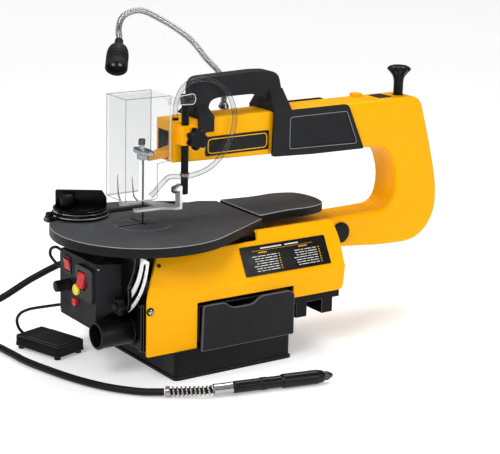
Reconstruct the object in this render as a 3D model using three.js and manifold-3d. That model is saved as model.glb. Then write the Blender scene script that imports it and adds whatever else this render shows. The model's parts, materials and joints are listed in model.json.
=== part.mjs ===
// A 16-inch parallel-arm scroll saw with its tilting table, blade guard, work lamp, foot pedal
// and flexible shaft. Millimetres, +Z up. The blade stands on the Z axis, the operator is at -Y,
// the right-hand side is +X, and the tray's underside is the plane Z = 0.
import * as THREE from "three";
import { mergeVertices } from "three/addons/utils/BufferGeometryUtils.js";
import Module from "manifold-3d";

const wasm = await Module();
wasm.setup();

// ---------------------------------------------------------------- driving dimensions
const GAP = 0.3; // between touching pieces
const THROAT = 408; // blade to the inside of the rear column
const TABLE_TOP = 181;
const TABLE_RADIUS = 122;
const TABLE_PLATE = 6; // thickness of the table's plate
const RIM_HEIGHT = 13; // plate and rim together
const PIVOT_Y = 307; // both arms rock about pins this far behind the blade
const ROD_Y = 424; // rear tension rod, under its knob
const UPPER_ARM_Z = 288;
const LOWER_ARM_Z = 134;
const BLADE_TOP = 266;
const BLADE_BOTTOM = 133;
const CRANK_RADIUS = 7.2; // gives the blade a 16 mm stroke
const WALL = 3;
const TRAY = { x: 112, front: -16, back: 164, height: 38 };
const COVER = { x: 110, front: -57, back: 257, crease: 114, top: 172, topX: 78 };
const BOX = { left: -55, right: 54, face: -93, back: -51, bottom: 59, top: 148 };
const ARM = { bottom: 262, top: 318, halfFront: 23, half: 27, front: 50 };
const MOTOR = { y: 30, z: 78, radius: 28 };
const HOLD_DOWN = { x: 30, y: 45, radius: 5 };
const SHEATH = 9.5; // flexible shaft's outer diameter
const CORD = 4;

// ---------------------------------------------------------------- colours
const material = (color, roughness, metalness = 0) =>
  new THREE.MeshStandardMaterial({ color, roughness, metalness });
const YELLOW = () => material("#ffb400", 0.45);
const BLACK = () => material("#1c1c1e", 0.6);
const DARK_GREY = () => material("#3c3d40", 0.55);
const CAST_GREY = () => material("#55565a", 0.5, 0.3);
const STEEL = () => material("#b8babd", 0.3, 0.9);
const SHEATHING = () => material("#161616", 0.7);
const CLEAR = () => material("#dfe3e6", 0.1);
const RED = () => material("#d9363e", 0.4);

// ---------------------------------------------------------------- shaping helpers
// A closed solid from a geometry, turned inside out if its faces point inward.
function solid(geometry) {
  const bare = geometry.clone();
  bare.deleteAttribute("normal");
  bare.deleteAttribute("uv");
  const merged = mergeVertices(bare, 1e-4);
  const triVerts = new Uint32Array(merged.index.array);
  const vertProperties = new Float32Array(merged.attributes.position.array);
  const made = new wasm.Manifold(new wasm.Mesh({ numProp: 3, vertProperties, triVerts }));
  if (made.volume() >= 0) return made;
  const flipped = triVerts.map((_, i) => triVerts[i - (i % 3) + [0, 2, 1][i % 3]]);
  return new wasm.Manifold(new wasm.Mesh({ numProp: 3, vertProperties, triVerts: flipped }));
}

const join = (...pieces) => pieces.reduce((whole, piece) => whole.add(piece));
const cut = (base, ...tools) => tools.reduce((left, tool) => left.subtract(tool), base);

// An outline whose corners are [u, v] or [u, v, corner radius].
function outline(corners) {
  const shape = new THREE.Shape();
  corners.forEach(([u, v, radius = 0], i) => {
    const corner = new THREE.Vector2(u, v);
    const step = (other) => {
      const side = new THREE.Vector2(other[0], other[1]).sub(corner);
      return side.setLength(Math.min(radius, 0.48 * side.length()));
    };
    const start = corner.clone().add(step(corners.at(i - 1)));
    const end = corner.clone().add(step(corners[(i + 1) % corners.length]));
    if (i === 0) shape.moveTo(start.x, start.y);
    else shape.lineTo(start.x, start.y);
    if (radius > 0) shape.quadraticCurveTo(u, v, end.x, end.y);
  });
  shape.closePath();
  return shape;
}

const rectangle = (u0, u1, v0, v1, radius = 0) =>
  outline([[u0, v0, radius], [u1, v0, radius], [u1, v1, radius], [u0, v1, radius]]);

// The same corners moved inward by a margin; the corners run counter-clockwise.
function inset(corners, margin) {
  return corners.map(([u, v, radius = 0], i) => {
    const before = corners.at(i - 1);
    const after = corners[(i + 1) % corners.length];
    const a = new THREE.Vector2(u - before[0], v - before[1]).normalize();
    const b = new THREE.Vector2(after[0] - u, after[1] - v).normalize();
    const bisector = new THREE.Vector2(-a.y - b.y, a.x + b.x).normalize();
    const reach = margin / (bisector.x * -a.y + bisector.y * a.x);
    return [u + bisector.x * reach, v + bisector.y * reach, Math.max(radius - margin, 0)];
  });
}

function extrude(shape, depth, curveSegments = 4) {
  return new THREE.ExtrudeGeometry(shape, { depth, bevelEnabled: false, curveSegments });
}

const basis = (x, y, z) => new THREE.Matrix4().makeBasis(x, y, z);
const X = new THREE.Vector3(1, 0, 0);
const Y = new THREE.Vector3(0, 1, 0);
const Z = new THREE.Vector3(0, 0, 1);

// A plate normal to X from an outline in (Y, Z), normal to Y from (X, Z), normal to Z from (X, Y).
const slabX = (shape, x0, x1, segments) =>
  solid(extrude(shape, x1 - x0, segments).applyMatrix4(basis(Y, Z, X)).translate(x0, 0, 0));
const slabY = (shape, y0, y1, segments) =>
  solid(
    extrude(shape, y1 - y0, segments)
      .applyMatrix4(basis(X, Z, Y.clone().negate()))
      .translate(0, y1, 0),
  );
const slabZ = (shape, z0, z1, segments) =>
  solid(extrude(shape, z1 - z0, segments).translate(0, 0, z0));
const block = (x0, x1, y0, y1, z0, z1) => slabZ(rectangle(x0, x1, y0, y1), z0, z1);

// A turned piece: the profile's [radius, distance] points run along a line from a start point.
function turned(profile, start, direction, segments = 20) {
  const points = profile.map(([radius, along]) => new THREE.Vector2(radius, along));
  const lathe = new THREE.LatheGeometry(points, segments);
  const turn = new THREE.Quaternion().setFromUnitVectors(Y, direction.clone().normalize());
  return solid(lathe.applyQuaternion(turn).translate(...start));
}

const pin = (start, direction, length, radius, segments = 20) =>
  turned([[0, 0], [radius, 0], [radius, length], [0, length]], start, direction, segments);

const along = (from, to) => new THREE.Vector3(...to).sub(new THREE.Vector3(...from));
const pinBetween = (from, to, radius, segments = 16) =>
  pin(from, along(from, to), along(from, to).length(), radius, segments);

// A round tube through points, as one closed solid.
function hose(points, diameter, steps, sides = 8) {
  const path = new THREE.CatmullRomCurve3(points.map((p) => new THREE.Vector3(...p)), false, "centripetal");
  const section = new THREE.Shape();
  for (let i = 0; i < sides; i += 1) {
    const angle = (2 * Math.PI * i) / sides;
    const [u, v] = [(diameter / 2) * Math.cos(angle), (diameter / 2) * Math.sin(angle)];
    if (i === 0) section.moveTo(u, v);
    else section.lineTo(u, v);
  }
  section.closePath();
  return solid(new THREE.ExtrudeGeometry(section, { steps, extrudePath: path }));
}

// A hand knob: a turned hub with round lobes standing around it, along a direction.
function lobedKnob(start, direction, hubRadius, lobeRadius, lobes, thickness) {
  const aim = new THREE.Quaternion().setFromUnitVectors(Z, direction.clone().normalize());
  const knob = new THREE.Shape();
  const steps = lobes * (lobes > 8 ? 4 : 6);
  for (let i = 0; i < steps; i += 1) {
    const angle = (2 * Math.PI * i) / steps;
    const radius = hubRadius + (lobeRadius - hubRadius) * (0.5 + 0.5 * Math.cos(lobes * angle));
    const [u, v] = [radius * Math.cos(angle), radius * Math.sin(angle)];
    if (i === 0) knob.moveTo(u, v);
    else knob.lineTo(u, v);
  }
  knob.closePath();
  return solid(extrude(knob, thickness).applyQuaternion(aim).translate(...start));
}

// ---------------------------------------------------------------- the scene graph
const saw = new THREE.Group();
saw.name = "scroll_saw";

function place(name, shape, look) {
  const mesh = shape.getMesh();
  const geometry = new THREE.BufferGeometry();
  geometry.setAttribute("position", new THREE.BufferAttribute(mesh.vertProperties, 3));
  geometry.setIndex(new THREE.BufferAttribute(mesh.triVerts, 1));
  geometry.computeVertexNormals();
  const node = new THREE.Mesh(geometry, look);
  node.name = name;
  saw.add(node);
}

// ---------------------------------------------------------------- base and frame
function baseTray() {
  const { x, front, back, height } = TRAY;
  const outer = slabZ(rectangle(-x, x, front, back, 6), 0, height);
  const lip = slabZ(rectangle(-x - 2, x + 2, front - 2, back + 2, 7), 0, 3.5);
  const inside = slabZ(rectangle(-x + WALL, x - WALL, front + WALL, back - WALL, 4), WALL, height + 1);
  place("base_tray", cut(join(outer, lip), inside), BLACK());
}

function mainFrame() {
  const floor = block(-60, 60, -8, 158, WALL + GAP, 8);
  const rightWeb = block(30, 34, -45, 250, 40, 112);
  const rightFoot = block(30, 34, -8, 158, 7, 41);
  const leftWeb = block(-35.5, -31.5, -45, 250, 40, 112);
  const leftFoot = block(-35.5, -31.5, -8, 158, 7, 41);
  const pedestal = block(-35.5, 34, 200, 250, 104, 112);
  const shaftHole = pin([-40, MOTOR.y, MOTOR.z], X, 12, 6);
  const pan = block(-104, 104, 171, 250, 70, 80);
  const ribs = [178, 221].map((y) => block(-104, 104, y, y + 18, 50, 71));
  const frame = cut(join(floor, rightWeb, rightFoot, leftWeb, leftFoot, pedestal, pan, ...ribs), shaftHole);
  place("main_frame", frame, BLACK());
}

// A side cover: upright below the crease, leaning in above it, and raised behind the table.
function sideCover(leanX, leanTop, rearTop) {
  const { x, front, back, crease } = COVER;
  const bottom = TRAY.height + GAP;
  const wallOutline = (shift) => [
    [20, bottom - 50], [x - shift, bottom - 50], [x - shift, crease], [leanX - shift, leanTop - shift],
    [20, leanTop - shift],
  ];
  const inner = slabY(outline(wallOutline(WALL)), front - 5, back - WALL);
  const silhouette = slabX(
    outline([
      [front, bottom, 2], [168, bottom, 3], [169, 82, 3], [251, 82, 6], [back, 150, 12],
      [252, rearTop, 4], [129, rearTop, 2], [126, 160, 2], [front + 28, 160, 4], [front, crease, 3],
    ]),
    20,
    x + 1,
  );
  const shell = cut(slabY(outline(wallOutline(0)), front, back).intersect(silhouette), inner);
  const armPort = block(19, ARM.half + 0.7, 200, back + 5, 90, 200);
  const aboveFlange = block(19, leanX - 6, front - 5, back + 5, 140, 200);
  return cut(shell, armPort, aboveFlange);
}

function covers() {
  const doorway = block(100, 120, 17, 169, 30, 99);
  const rightCover = sideCover(COVER.topX, COVER.top, COVER.top);
  place("right_cover", cut(rightCover, doorway), YELLOW());

  // The left cover is low beside the table, to leave room for the table's tilt. It is drawn on the
  // right-hand side and mirrored.
  const step = 124; // where the low part meets the high part behind the table
  const low = { inner: 38, innerTop: 124, outerTop: 106 };
  const deck = (shift) =>
    outline([
      [20, -10], [COVER.x - shift, -10], [COVER.x - shift, low.outerTop - shift / 2],
      [low.inner, low.innerTop - shift], [20, low.innerTop - shift],
    ]);
  const lowShell = cut(slabY(deck(0), COVER.front, step + 2), slabY(deck(WALL), COVER.front - 5, step + 5));
  const underside = block(0, 130, -70, 130, -20, TRAY.height + GAP);
  const lowPart = cut(lowShell, underside, block(19, low.inner, -70, 130, 0, 200));
  const bulkhead = slabY(
    outline([[38, 118], [108, 101], [109, 113], [84, 158], [72, 158], [72, 122], [38, 122]]),
    step - 1,
    step + 2,
  );
  const highPart = cut(sideCover(COVER.topX, COVER.top, COVER.top), block(0, 130, -70, step, 0, 200));
  const shaftPort = pin([90, MOTOR.y, MOTOR.z], X, 30, 12);
  const boxRoom = block(30, -BOX.left + GAP, COVER.front - 5, BOX.back + GAP, BOX.bottom - 1, 200);
  const leftCover = cut(join(highPart, lowPart, bulkhead), shaftPort, boxRoom).mirror([1, 0, 0]);
  place("left_cover", leftCover, YELLOW());
}

function frontPlate() {
  const y = [COVER.front + 6.3, COVER.front + 10];
  const shape = outline([
    [-105, TRAY.height + 1, 3], [105, TRAY.height + 1, 3], [105, 108, 3], [88, 150, 6], [-20, 150, 6],
    [-36, 119], [-105, 102.5, 4],
  ]);
  const pipeHole = pin([58, -70, 60], Y, 30, 16);
  const post = block(83, 90, y[0] - 4, y[0] + 1, TRAY.height + 1, 100);
  place("front_plate", cut(join(slabY(shape, ...y), post), pipeHole), BLACK());
}

// A flat ring sector about the table's tilt axis, between two angles below the horizontal.
function tiltSector(inner, outer, fromDegrees, toDegrees, y0, y1) {
  const shape = new THREE.Shape();
  const [from, to] = [fromDegrees, toDegrees].map((degrees) => THREE.MathUtils.degToRad(-degrees));
  shape.absarc(0, TABLE_TOP, outer, from, to, true);
  shape.absarc(0, TABLE_TOP, inner, to, from, false);
  shape.closePath();
  return slabY(shape, y0, y1, 8);
}

const LOCK_RADIUS = 107; // the lock bolt's distance from the tilt axis
const LOCK = { x: 66, z: 97 };

function tiltScale() {
  const plate = tiltSector(97, 115, 8, 55.5, -59, COVER.front - GAP);
  const slot = tiltSector(LOCK_RADIUS - 3.7, LOCK_RADIUS + 3.5, 11, 54, -60, -50);
  place("tilt_scale", cut(plate, slot), material("#f2f2f0", 0.4, 0.2));
}

// ---------------------------------------------------------------- storage and label plates
function storage() {
  const bin = cut(block(62, 106, 22, 164, 44, 93), block(64, 110, 24, 162, 46, 91));
  place("storage_bin", bin, BLACK());
  const front = slabX(
    outline([
      [20, 34, 2], [166, 34, 2], [166, 91, 4], [158, 96, 4], [110, 96, 8], [100, 87, 8], [66, 87, 8],
      [56, 96, 8], [22, 96, 4],
    ]),
    112.6,
    117,
  );
  place("storage_door", front, DARK_GREY());
}

function plates() {
  const lean = new THREE.Vector3(COVER.topX - COVER.x, 0, COVER.top - COVER.crease).normalize();
  const normal = new THREE.Vector3(lean.z, 0, -lean.x);
  const place3 = basis(Y, lean, normal).setPosition(
    COVER.x + normal.x * GAP, 0, COVER.crease + normal.z * GAP,
  );
  const label = solid(extrude(rectangle(94, 232, 7, 47, 2), 1).applyMatrix4(place3));
  place("label_plate", label, BLACK());
  const nameplate = slabX(rectangle(81, 182, 267, 293, 2), ARM.halfFront + GAP, ARM.halfFront + 1.5);
  place("name_plate", nameplate, BLACK());
}

// ---------------------------------------------------------------- the C-shaped arm housing
const C_OUTLINE = [
  [205, 112.5, 6], [300, 112.5, 30], [396, 103, 30], [453, 103, 30], [484, 137, 30], [486, 182, 30],
  [468, 250, 30], [446, 318, 16], [ARM.front, ARM.top, 5], [ARM.front, ARM.bottom, 3],
  [190, 259, 10], [330, 252, 10], [392, 250, 26], [THROAT + 2, 200, 22], [400, 158, 22], [340, 157, 20],
  [205, 156, 6],
];

function housing(sign) {
  const wide = slabX(outline(C_OUTLINE), 0.15, ARM.half, 4);
  const slim = block(ARM.halfFront, 40, 0, 190, 230, 340);
  const room = slabX(outline(inset(C_OUTLINE, 4)), -1, ARM.halfFront, 2);
  const slimRoom = block(ARM.halfFront - 4, 40, 0, 194, 262, 314);
  const hollow = cut(room, slimRoom);
  const noseOpening = block(-1, ARM.halfFront - 4, 40, 60, 266, 314);
  const bodyOpening = block(-1, ARM.halfFront, 190, 215, 117, 152);
  const knobHole = pin([0, ROD_Y, 300], Z, 30, 8.5);
  const shell = cut(wide, slim, hollow, noseOpening, bodyOpening, knobHole);
  return sign > 0 ? shell : shell.mirror([1, 0, 0]);
}

function armNose() {
  const frame = slabY(rectangle(-21, 22, 263, 317, 2), 33, ARM.front - GAP);
  const opening = slabY(rectangle(-17, 9, 265.6, 303, 1), 30, 60);
  const pocket = block(-17, 18, 37, 60, 265.6, 312);
  const boss = slabZ(rectangle(23.4, 41, 35, 55, 6), 289, 314);
  const bridge = block(20, 26, 37, 49, 289, 314);
  const ears = slabZ(rectangle(40, 48, 40, 50, 2), 292, 314);
  const slit = block(36, 50, 44.2, 45.8, 280, 320);
  const bore = pin([HOLD_DOWN.x, HOLD_DOWN.y, 280], Z, 50, HOLD_DOWN.radius + 0.4);
  const screwHole = pin([38, HOLD_DOWN.y, 301], X, 14, 3.4, 12);
  place("arm_nose", cut(join(frame, boss, bridge, ears), opening, pocket, slit, bore, screwHole), YELLOW());
}

function carryHandle() {
  const loop = slabX(
    outline([
      [69, ARM.top + GAP, 2], [92, ARM.top + GAP, 2], [93, 338, 10], [108, 342, 8], [166, 342, 10],
      [186, 334, 14], [192, ARM.top + GAP, 2], [215, ARM.top + GAP, 2], [209, 346, 14], [203, 370, 16],
      [172, 372, 12], [72, 369, 14],
    ]),
    -12, 12, 4,
  );
  const panelShape = outline([
    [184, 257, 4], [252, 254, 2], [341, 253, 3], [311, 318.5, 6], [186, 318.5, 4],
  ]);
  const panels = [ARM.half + GAP, -ARM.half - GAP - 3.7].map((x) => slabX(panelShape, x, x + 3.7));
  // The legs spread over the housing and run down its sides.
  const spread = (y0, y1, half, top) => {
    const neck = block(-12, 12, y0 + 3, y1 - 3, top - 1, top);
    return wasm.Manifold.hull([neck, block(-half, half, y0, y1, ARM.top + GAP, ARM.top + 2)]);
  };
  const rearLeg = spread(186, 214, ARM.half + 4, 346);
  const frontLeg = spread(69, 92, ARM.halfFront + 4, 334);
  const besideRear = ARM.half + GAP;
  const besideFront = ARM.halfFront + GAP;
  const rearCheeks = [besideRear, -besideRear - 3.7].map((x) => block(x, x + 3.7, 187, 213, 312, 320));
  const frontCheek = block(besideFront, besideFront + 3.7, 69, 92, 300, 320);
  const recessShape = outline([[213, 266, 3], [327, 263, 3], [308, 308, 3], [213, 308, 3]]);
  const recess = slabX(recessShape, ARM.half + 2.6, 40);
  const handle = join(loop, rearLeg, frontLeg, frontCheek, ...panels, ...rearCheeks);
  place("carry_handle", cut(handle, recess), DARK_GREY());
}

function armHousing() {
  place("c_arm_right", housing(1), YELLOW());
  place("c_arm_left", housing(-1), YELLOW());
  armNose();
  carryHandle();
  const cap = turned(
    [[0, 0], [15, 0], [15, 2.5], [13, 4], [0, 4]], [ARM.half + GAP, PIVOT_Y, LOWER_ARM_Z], X, 28,
  );
  place("pivot_cap", cap, BLACK());
}

// ---------------------------------------------------------------- rocking arms and blade
function arms() {
  const bushHoles = (z) => pin([-12, PIVOT_Y, z], X, 24, 5.4);
  const rodSlot = block(-4.5, 4.5, ROD_Y - 9, ROD_Y + 20, 60, 340);
  const upper = slabX(
    outline([
      [4, BLADE_TOP], [37, 268, 4], [80, 276, 10], [ROD_Y + 8, 280, 4], [ROD_Y + 8, 296, 6],
      [PIVOT_Y, 300, 20], [80, 292, 10], [37, 279, 4], [4, BLADE_TOP + 6],
    ]),
    -8, 8,
  );
  place("upper_arm", cut(upper, bushHoles(UPPER_ARM_Z), rodSlot), YELLOW());
  const lower = slabX(
    outline([
      [4, BLADE_BOTTOM - 8, 2], [ROD_Y + 8, 124, 6], [ROD_Y + 8, 142, 6], [60, 144, 10],
      [4, BLADE_BOTTOM, 2],
    ]),
    -8, 8,
  );
  const crankPin = pinBetween([7, MOTOR.y, LOWER_ARM_Z], [-21, MOTOR.y, LOWER_ARM_Z], 4);
  place("lower_arm", cut(join(lower, crankPin), bushHoles(LOWER_ARM_Z), rodSlot), CAST_GREY());
  const reach = ARM.halfFront - GAP;
  const pivotPin = (z) => pinBetween([-reach, PIVOT_Y, z], [reach, PIVOT_Y, z], 5);
  place("upper_pivot_pin", pivotPin(UPPER_ARM_Z), STEEL());
  place("lower_pivot_pin", pivotPin(LOWER_ARM_Z), STEEL());
  place("tension_rod", pinBetween([0, ROD_Y, 118], [0, ROD_Y, 299], 3.5), STEEL());
}

function blade() {
  const strip = block(-0.25, 0.25, -1.4, 1.4, BLADE_BOTTOM - 6, BLADE_TOP + 7);
  place("blade", strip, material("#6c6e72", 0.35, 0.9));
  const wing = slabZ(
    outline([
      [-19, -4, 3], [-8, -6, 2], [8, -6, 2], [19, -4, 3], [19, 2, 3], [8, 3, 2], [-8, 3, 2], [-19, 2, 3],
    ]),
    BLADE_TOP + 10,
    BLADE_TOP + 14,
  );
  const jaws = block(-6, 6, -6, 3, BLADE_TOP + 1, BLADE_TOP + 11);
  const screw = pin([0, -2, BLADE_TOP + 13], Z, 9, 4, 6);
  const bladeSlot = block(-0.7, 0.7, -1.9, 1.9, 100, BLADE_TOP + 8);
  place("upper_clamp", cut(join(wing, jaws, screw), bladeSlot), STEEL());
  const lowerJaws = join(
    block(-6, 6, -6, 3.5, BLADE_BOTTOM - 9, BLADE_BOTTOM + 3),
    pin([5, -1.5, BLADE_BOTTOM - 3], X, 9, 3.5, 6),
  );
  const lowerSlot = block(-0.7, 0.7, -1.9, 1.9, BLADE_BOTTOM - 7, 200);
  place("lower_clamp", cut(lowerJaws, lowerSlot), STEEL());
}

// The tension knob turns above the rear rod, on top of the housing.
function tensionKnob() {
  const neck = pin([0, ROD_Y, 301], Z, 44, 7);
  const star = lobedKnob([0, ROD_Y, 344], Z, 12, 17, 5, 12);
  const crown = pin([0, ROD_Y, 355.5], Z, 5.5, 9);
  place("tension_knob", join(neck, star, crown), BLACK());
}

// ---------------------------------------------------------------- motor and crank
function motor() {
  const centre = (x) => [x, MOTOR.y, MOTOR.z];
  const can = turned(
    [[0, 0], [MOTOR.radius - 4, 0], [MOTOR.radius, 4], [MOTOR.radius, 60], [0, 60]], centre(-96), X, 32,
  );
  place("motor", cut(can, pin(centre(-100), X, 70, 4.5)), BLACK());
  const shaft = pinBetween(centre(-116), centre(-27), 4);
  const crank = pin(centre(-28), X, 6, 16);
  const eccentric = pin([-22.5, MOTOR.y, MOTOR.z - CRANK_RADIUS], X, 2, 5);
  const hub = pin(centre(-104), X, 6, 8);
  const blades = [0, 1, 2, 3, 4, 5].map((i) =>
    block(-103, -99, -2, 2, 6, 24).rotate([i * 60, 0, 0]).translate([0, MOTOR.y, MOTOR.z]),
  );
  place("motor_shaft", join(shaft, crank, eccentric, hub, ...blades), STEEL());
  const rodEnd = MOTOR.z - CRANK_RADIUS;
  const link = slabX(rectangle(MOTOR.y - 4.5, MOTOR.y + 4.5, rodEnd, LOWER_ARM_Z), -20, -14.5);
  const bigEnd = pin([-20, MOTOR.y, rodEnd], X, 5.5, 10);
  const smallEnd = pin([-20, MOTOR.y, LOWER_ARM_Z], X, 5.5, 8);
  const holes = [pin([-25, MOTOR.y, rodEnd], X, 15, 6), pin([-25, MOTOR.y, LOWER_ARM_Z], X, 15, 4.4)];
  place("connecting_rod", cut(join(link, bigEnd, smallEnd), ...holes), CAST_GREY());
  const nut = turned(
    [[4.8, 0], [10, 0], [10, 14], [7, 20], [4.8, 20], [4.8, 0]], centre(-118.5), X.clone().negate(), 12,
  );
  place("shaft_coupling", nut, STEEL());
}

// ---------------------------------------------------------------- table
const TABLE_REAR = new THREE.Vector2(56, 152); // rear right corner of the main plate
const LEAF = [
  [-50, 153, 3], [50, 153, 3], [43, 205, 20], [47, 238, 14], [36, 272, 16], [0, 281, 30], [-36, 272, 16],
  [-47, 238, 14], [-43, 205, 20],
];

function tableOutline(margin) {
  const radius = TABLE_RADIUS - margin;
  const corner = TABLE_REAR.clone().sub(new THREE.Vector2(1.3 * margin, margin));
  const tangent = corner.angle() - Math.acos(radius / corner.length());
  const shape = new THREE.Shape();
  shape.absarc(0, 0, radius, tangent, Math.PI - tangent, true);
  shape.lineTo(-corner.x, corner.y);
  shape.lineTo(corner.x, corner.y);
  shape.closePath();
  return shape;
}

function table() {
  const rimBottom = TABLE_TOP - RIM_HEIGHT;
  const underPlate = TABLE_TOP - TABLE_PLATE;
  const bodyOfTable = slabZ(tableOutline(0), rimBottom, TABLE_TOP, 22);
  const hollow = slabZ(tableOutline(4), rimBottom - 1, underPlate, 22);
  const seat = pin([0, 0, TABLE_TOP - 3], Z, 10, 38, 40);
  const throughHole = pin([0, 0, rimBottom], Z, 30, 32, 32);
  const groove = block(-80.5, -67.5, -130, 160, TABLE_TOP - 2.2, TABLE_TOP + 5);
  place("table_plate", cut(bodyOfTable, hollow, seat, throughHole, groove), CAST_GREY());

  const disc = pin([0, 0, TABLE_TOP - 3 + GAP], Z, 2.7, 37.6, 40);
  const crossSlot = block(-31, 8, -1.6, 1.6, 170, 190);
  const entrySlot = block(-1.6, 1.6, -45, 4, 170, 190);
  place("table_insert", cut(disc, crossSlot, entrySlot), CAST_GREY());

  const leafTop = TABLE_TOP + 3;
  const leaf = slabZ(outline(LEAF), leafTop - 12, leafTop);
  const underLeaf = slabZ(outline(inset(LEAF, 4)), leafTop - 13, leafTop - 6);
  place("table_leaf", cut(leaf, underLeaf), CAST_GREY());

  const hangers = underPlate - GAP;
  const front = slabY(
    outline([
      [57, hangers], [57, 100, 3], [58, 88, 8], [70, 88, 8], [76, 100, 9], [74, 122], [81, 134], [88, 149],
      [92.5, 164], [92.5, hangers],
    ]),
    -64.5, -59.5,
  );
  place("front_trunnion", cut(front, pin([LOCK.x, -70, LOCK.z], Y, 20, 3.5)), CAST_GREY());
  place("rear_trunnion", block(-14, 14, 112, 118, 160, hangers), CAST_GREY());
  const knob = lobedKnob([LOCK.x, -66, LOCK.z], Y.clone().negate(), 10, 13, 6, 11);
  const hub = pin([LOCK.x, -76.9, LOCK.z], Y.clone().negate(), 4, 5);
  const bolt = pin([LOCK.x, -66.1, LOCK.z], Y, 9.6, 3, 12);
  place("tilt_lock_knob", join(knob, hub, bolt), BLACK());
}

const GUIDE = { x: -74, y: -53 }; // centre of the mitre head on the table

function mitreGuide() {
  const { x, y } = GUIDE;
  const bar = block(x - 6, x + 6, -104, 62, TABLE_TOP - 2.2 + GAP, TABLE_TOP + 2.2);
  const stop = block(x - 2, x + 16, -106, -94, TABLE_TOP + GAP, TABLE_TOP + 9);
  place("guide_bar", join(bar, stop), BLACK());
  const bottom = TABLE_TOP + 2.5;
  const disc = turned([[0, 0], [38, 0], [38, 4], [36, 5], [36, 11], [0, 11]], [x, y, bottom], Z, 36);
  const fence = slabX(outline([[-34, 0], [34, 0], [34, 16, 2], [28, 26, 2], [-34, 26, 2]]), -3, 3)
    .rotate([0, 0, -32])
    .translate([x - 6, y + 5, bottom + 5]);
  const stud = pin([x - 2, y - 18, bottom + 5], Z, 8, 3, 12);
  place("guide_head", join(disc, fence, stud), BLACK());
  const grip = lobedKnob([x - 2, y - 18, bottom + 13.3], Z, 8, 9, 12, 15);
  place("guide_knob", grip, BLACK());
}

// ---------------------------------------------------------------- hold-down, guard and lamp
function holdDown() {
  const { x, y, radius } = HOLD_DOWN;
  const rod = pin([x, y, 222], Z, 119, radius);
  const head = block(x - 5, x + 5, y - 5, y + 5, 340, 354);
  const pivot = pin([x + 4, 46, 349], X, 9, 3, 16);
  place("hold_down_rod", join(rod, head, pivot), BLACK());
  const screw = pin([41.5, y, 301], X, 8, 3, 12);
  const star = lobedKnob([49, y, 301], X, 11, 15, 5, 16);
  place("rod_knob", join(screw, star), BLACK());
  const plate = slabZ(
    outline([
      [-26, -24, 4], [-17, -24, 4], [-17, 10, 3], [12, 10, 3], [12, -24, 4], [21, -24, 4], [23, 14, 4],
      [34, 30, 3], [34, 39.7, 1], [22, 39.7, 1], [-22, 20, 5],
    ]),
    203, 206,
  );
  const lug = slabY(outline([[22, 203], [34, 203], [34, 236, 5], [22, 236, 5]]), 36, 39.7);
  const screwHead = pin([28, 32, 229], Y, 4.5, 6);
  place("hold_down_foot", join(plate, lug, screwHead), STEEL());
}

function guard() {
  const wall = 2.5;
  const side = [[-40, 218], [8, 218, 3], [8, 262, 3], [27, 264, 3], [27, 353], [-40, 353]];
  const body = slabX(outline(side), -26, 24);
  const inside = slabX(
    outline([[-40 + wall, 200], [60, 200], [60, 353 - wall], [-40 + wall, 353 - wall]]),
    -26 + wall,
    24 - wall,
  );
  const strap = block(20, 40, 14, 27, 350.5, 353);
  const ear = slabX(outline([[14, 344], [52, 342, 4], [55, 349, 4], [52, 356, 4], [14, 353]]), 36.3, 40);
  const hole = pin([30, 46, 349], X, 20, 3.4, 16);
  place("blade_guard", cut(join(cut(body, inside), strap, ear), hole), CLEAR());
}

const AIR_HOSE = [
  [9, 43, 317.8], [11, 42, 335], [16, 46, 355], [17, 58, 366], [17, 79, 369], [18, 98, 364], [21, 112, 354],
  [26, 119, 339], [31, 121, 320], [33, 118, 301], [35, 110, 286], [37, 98, 270], [39, 84, 259],
  [41, 66, 252], [40.5, 40, 248], [22, 27, 245], [12, 22, 235], [8, 14, 224], [6, 8, 218],
];
const GOOSENECK = [
  [-23, 139, 326.9], [-24, 140, 345], [-30, 139, 362], [-38.4, 119.7, 385.2], [-46.3, 99.4, 411],
  [-58.7, 61.9, 438], [-70.6, 33.4, 450.5], [-82, 15.9, 441.5], [-83.4, 10.8, 427], [-75.9, 7.2, 413.5],
];

function hoseAndLamp() {
  place("air_hose", hose(AIR_HOSE, 7, 30), CLEAR());
  const socket = turned([[0, 0], [7.2, 0], [7.2, 5], [6, 7.8], [0, 7.8]], [-23, 139, ARM.top + GAP], Z, 20);
  place("lamp_base", socket, STEEL());
  place("gooseneck", hose(GOOSENECK, 9, 26), STEEL());
  const head = turned(
    [
      [0, 0], [5.5, 0], [5.8, 9], [9, 12], [13.5, 19], [14.8, 27], [14.8, 50], [12.6, 50], [12.2, 42],
      [0, 42],
    ],
    [-74.6, 6.3, 412.2], new THREE.Vector3(0.64, -0.448, -0.624), 32,
  );
  place("lamp_head", head, DARK_GREY());
}

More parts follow.
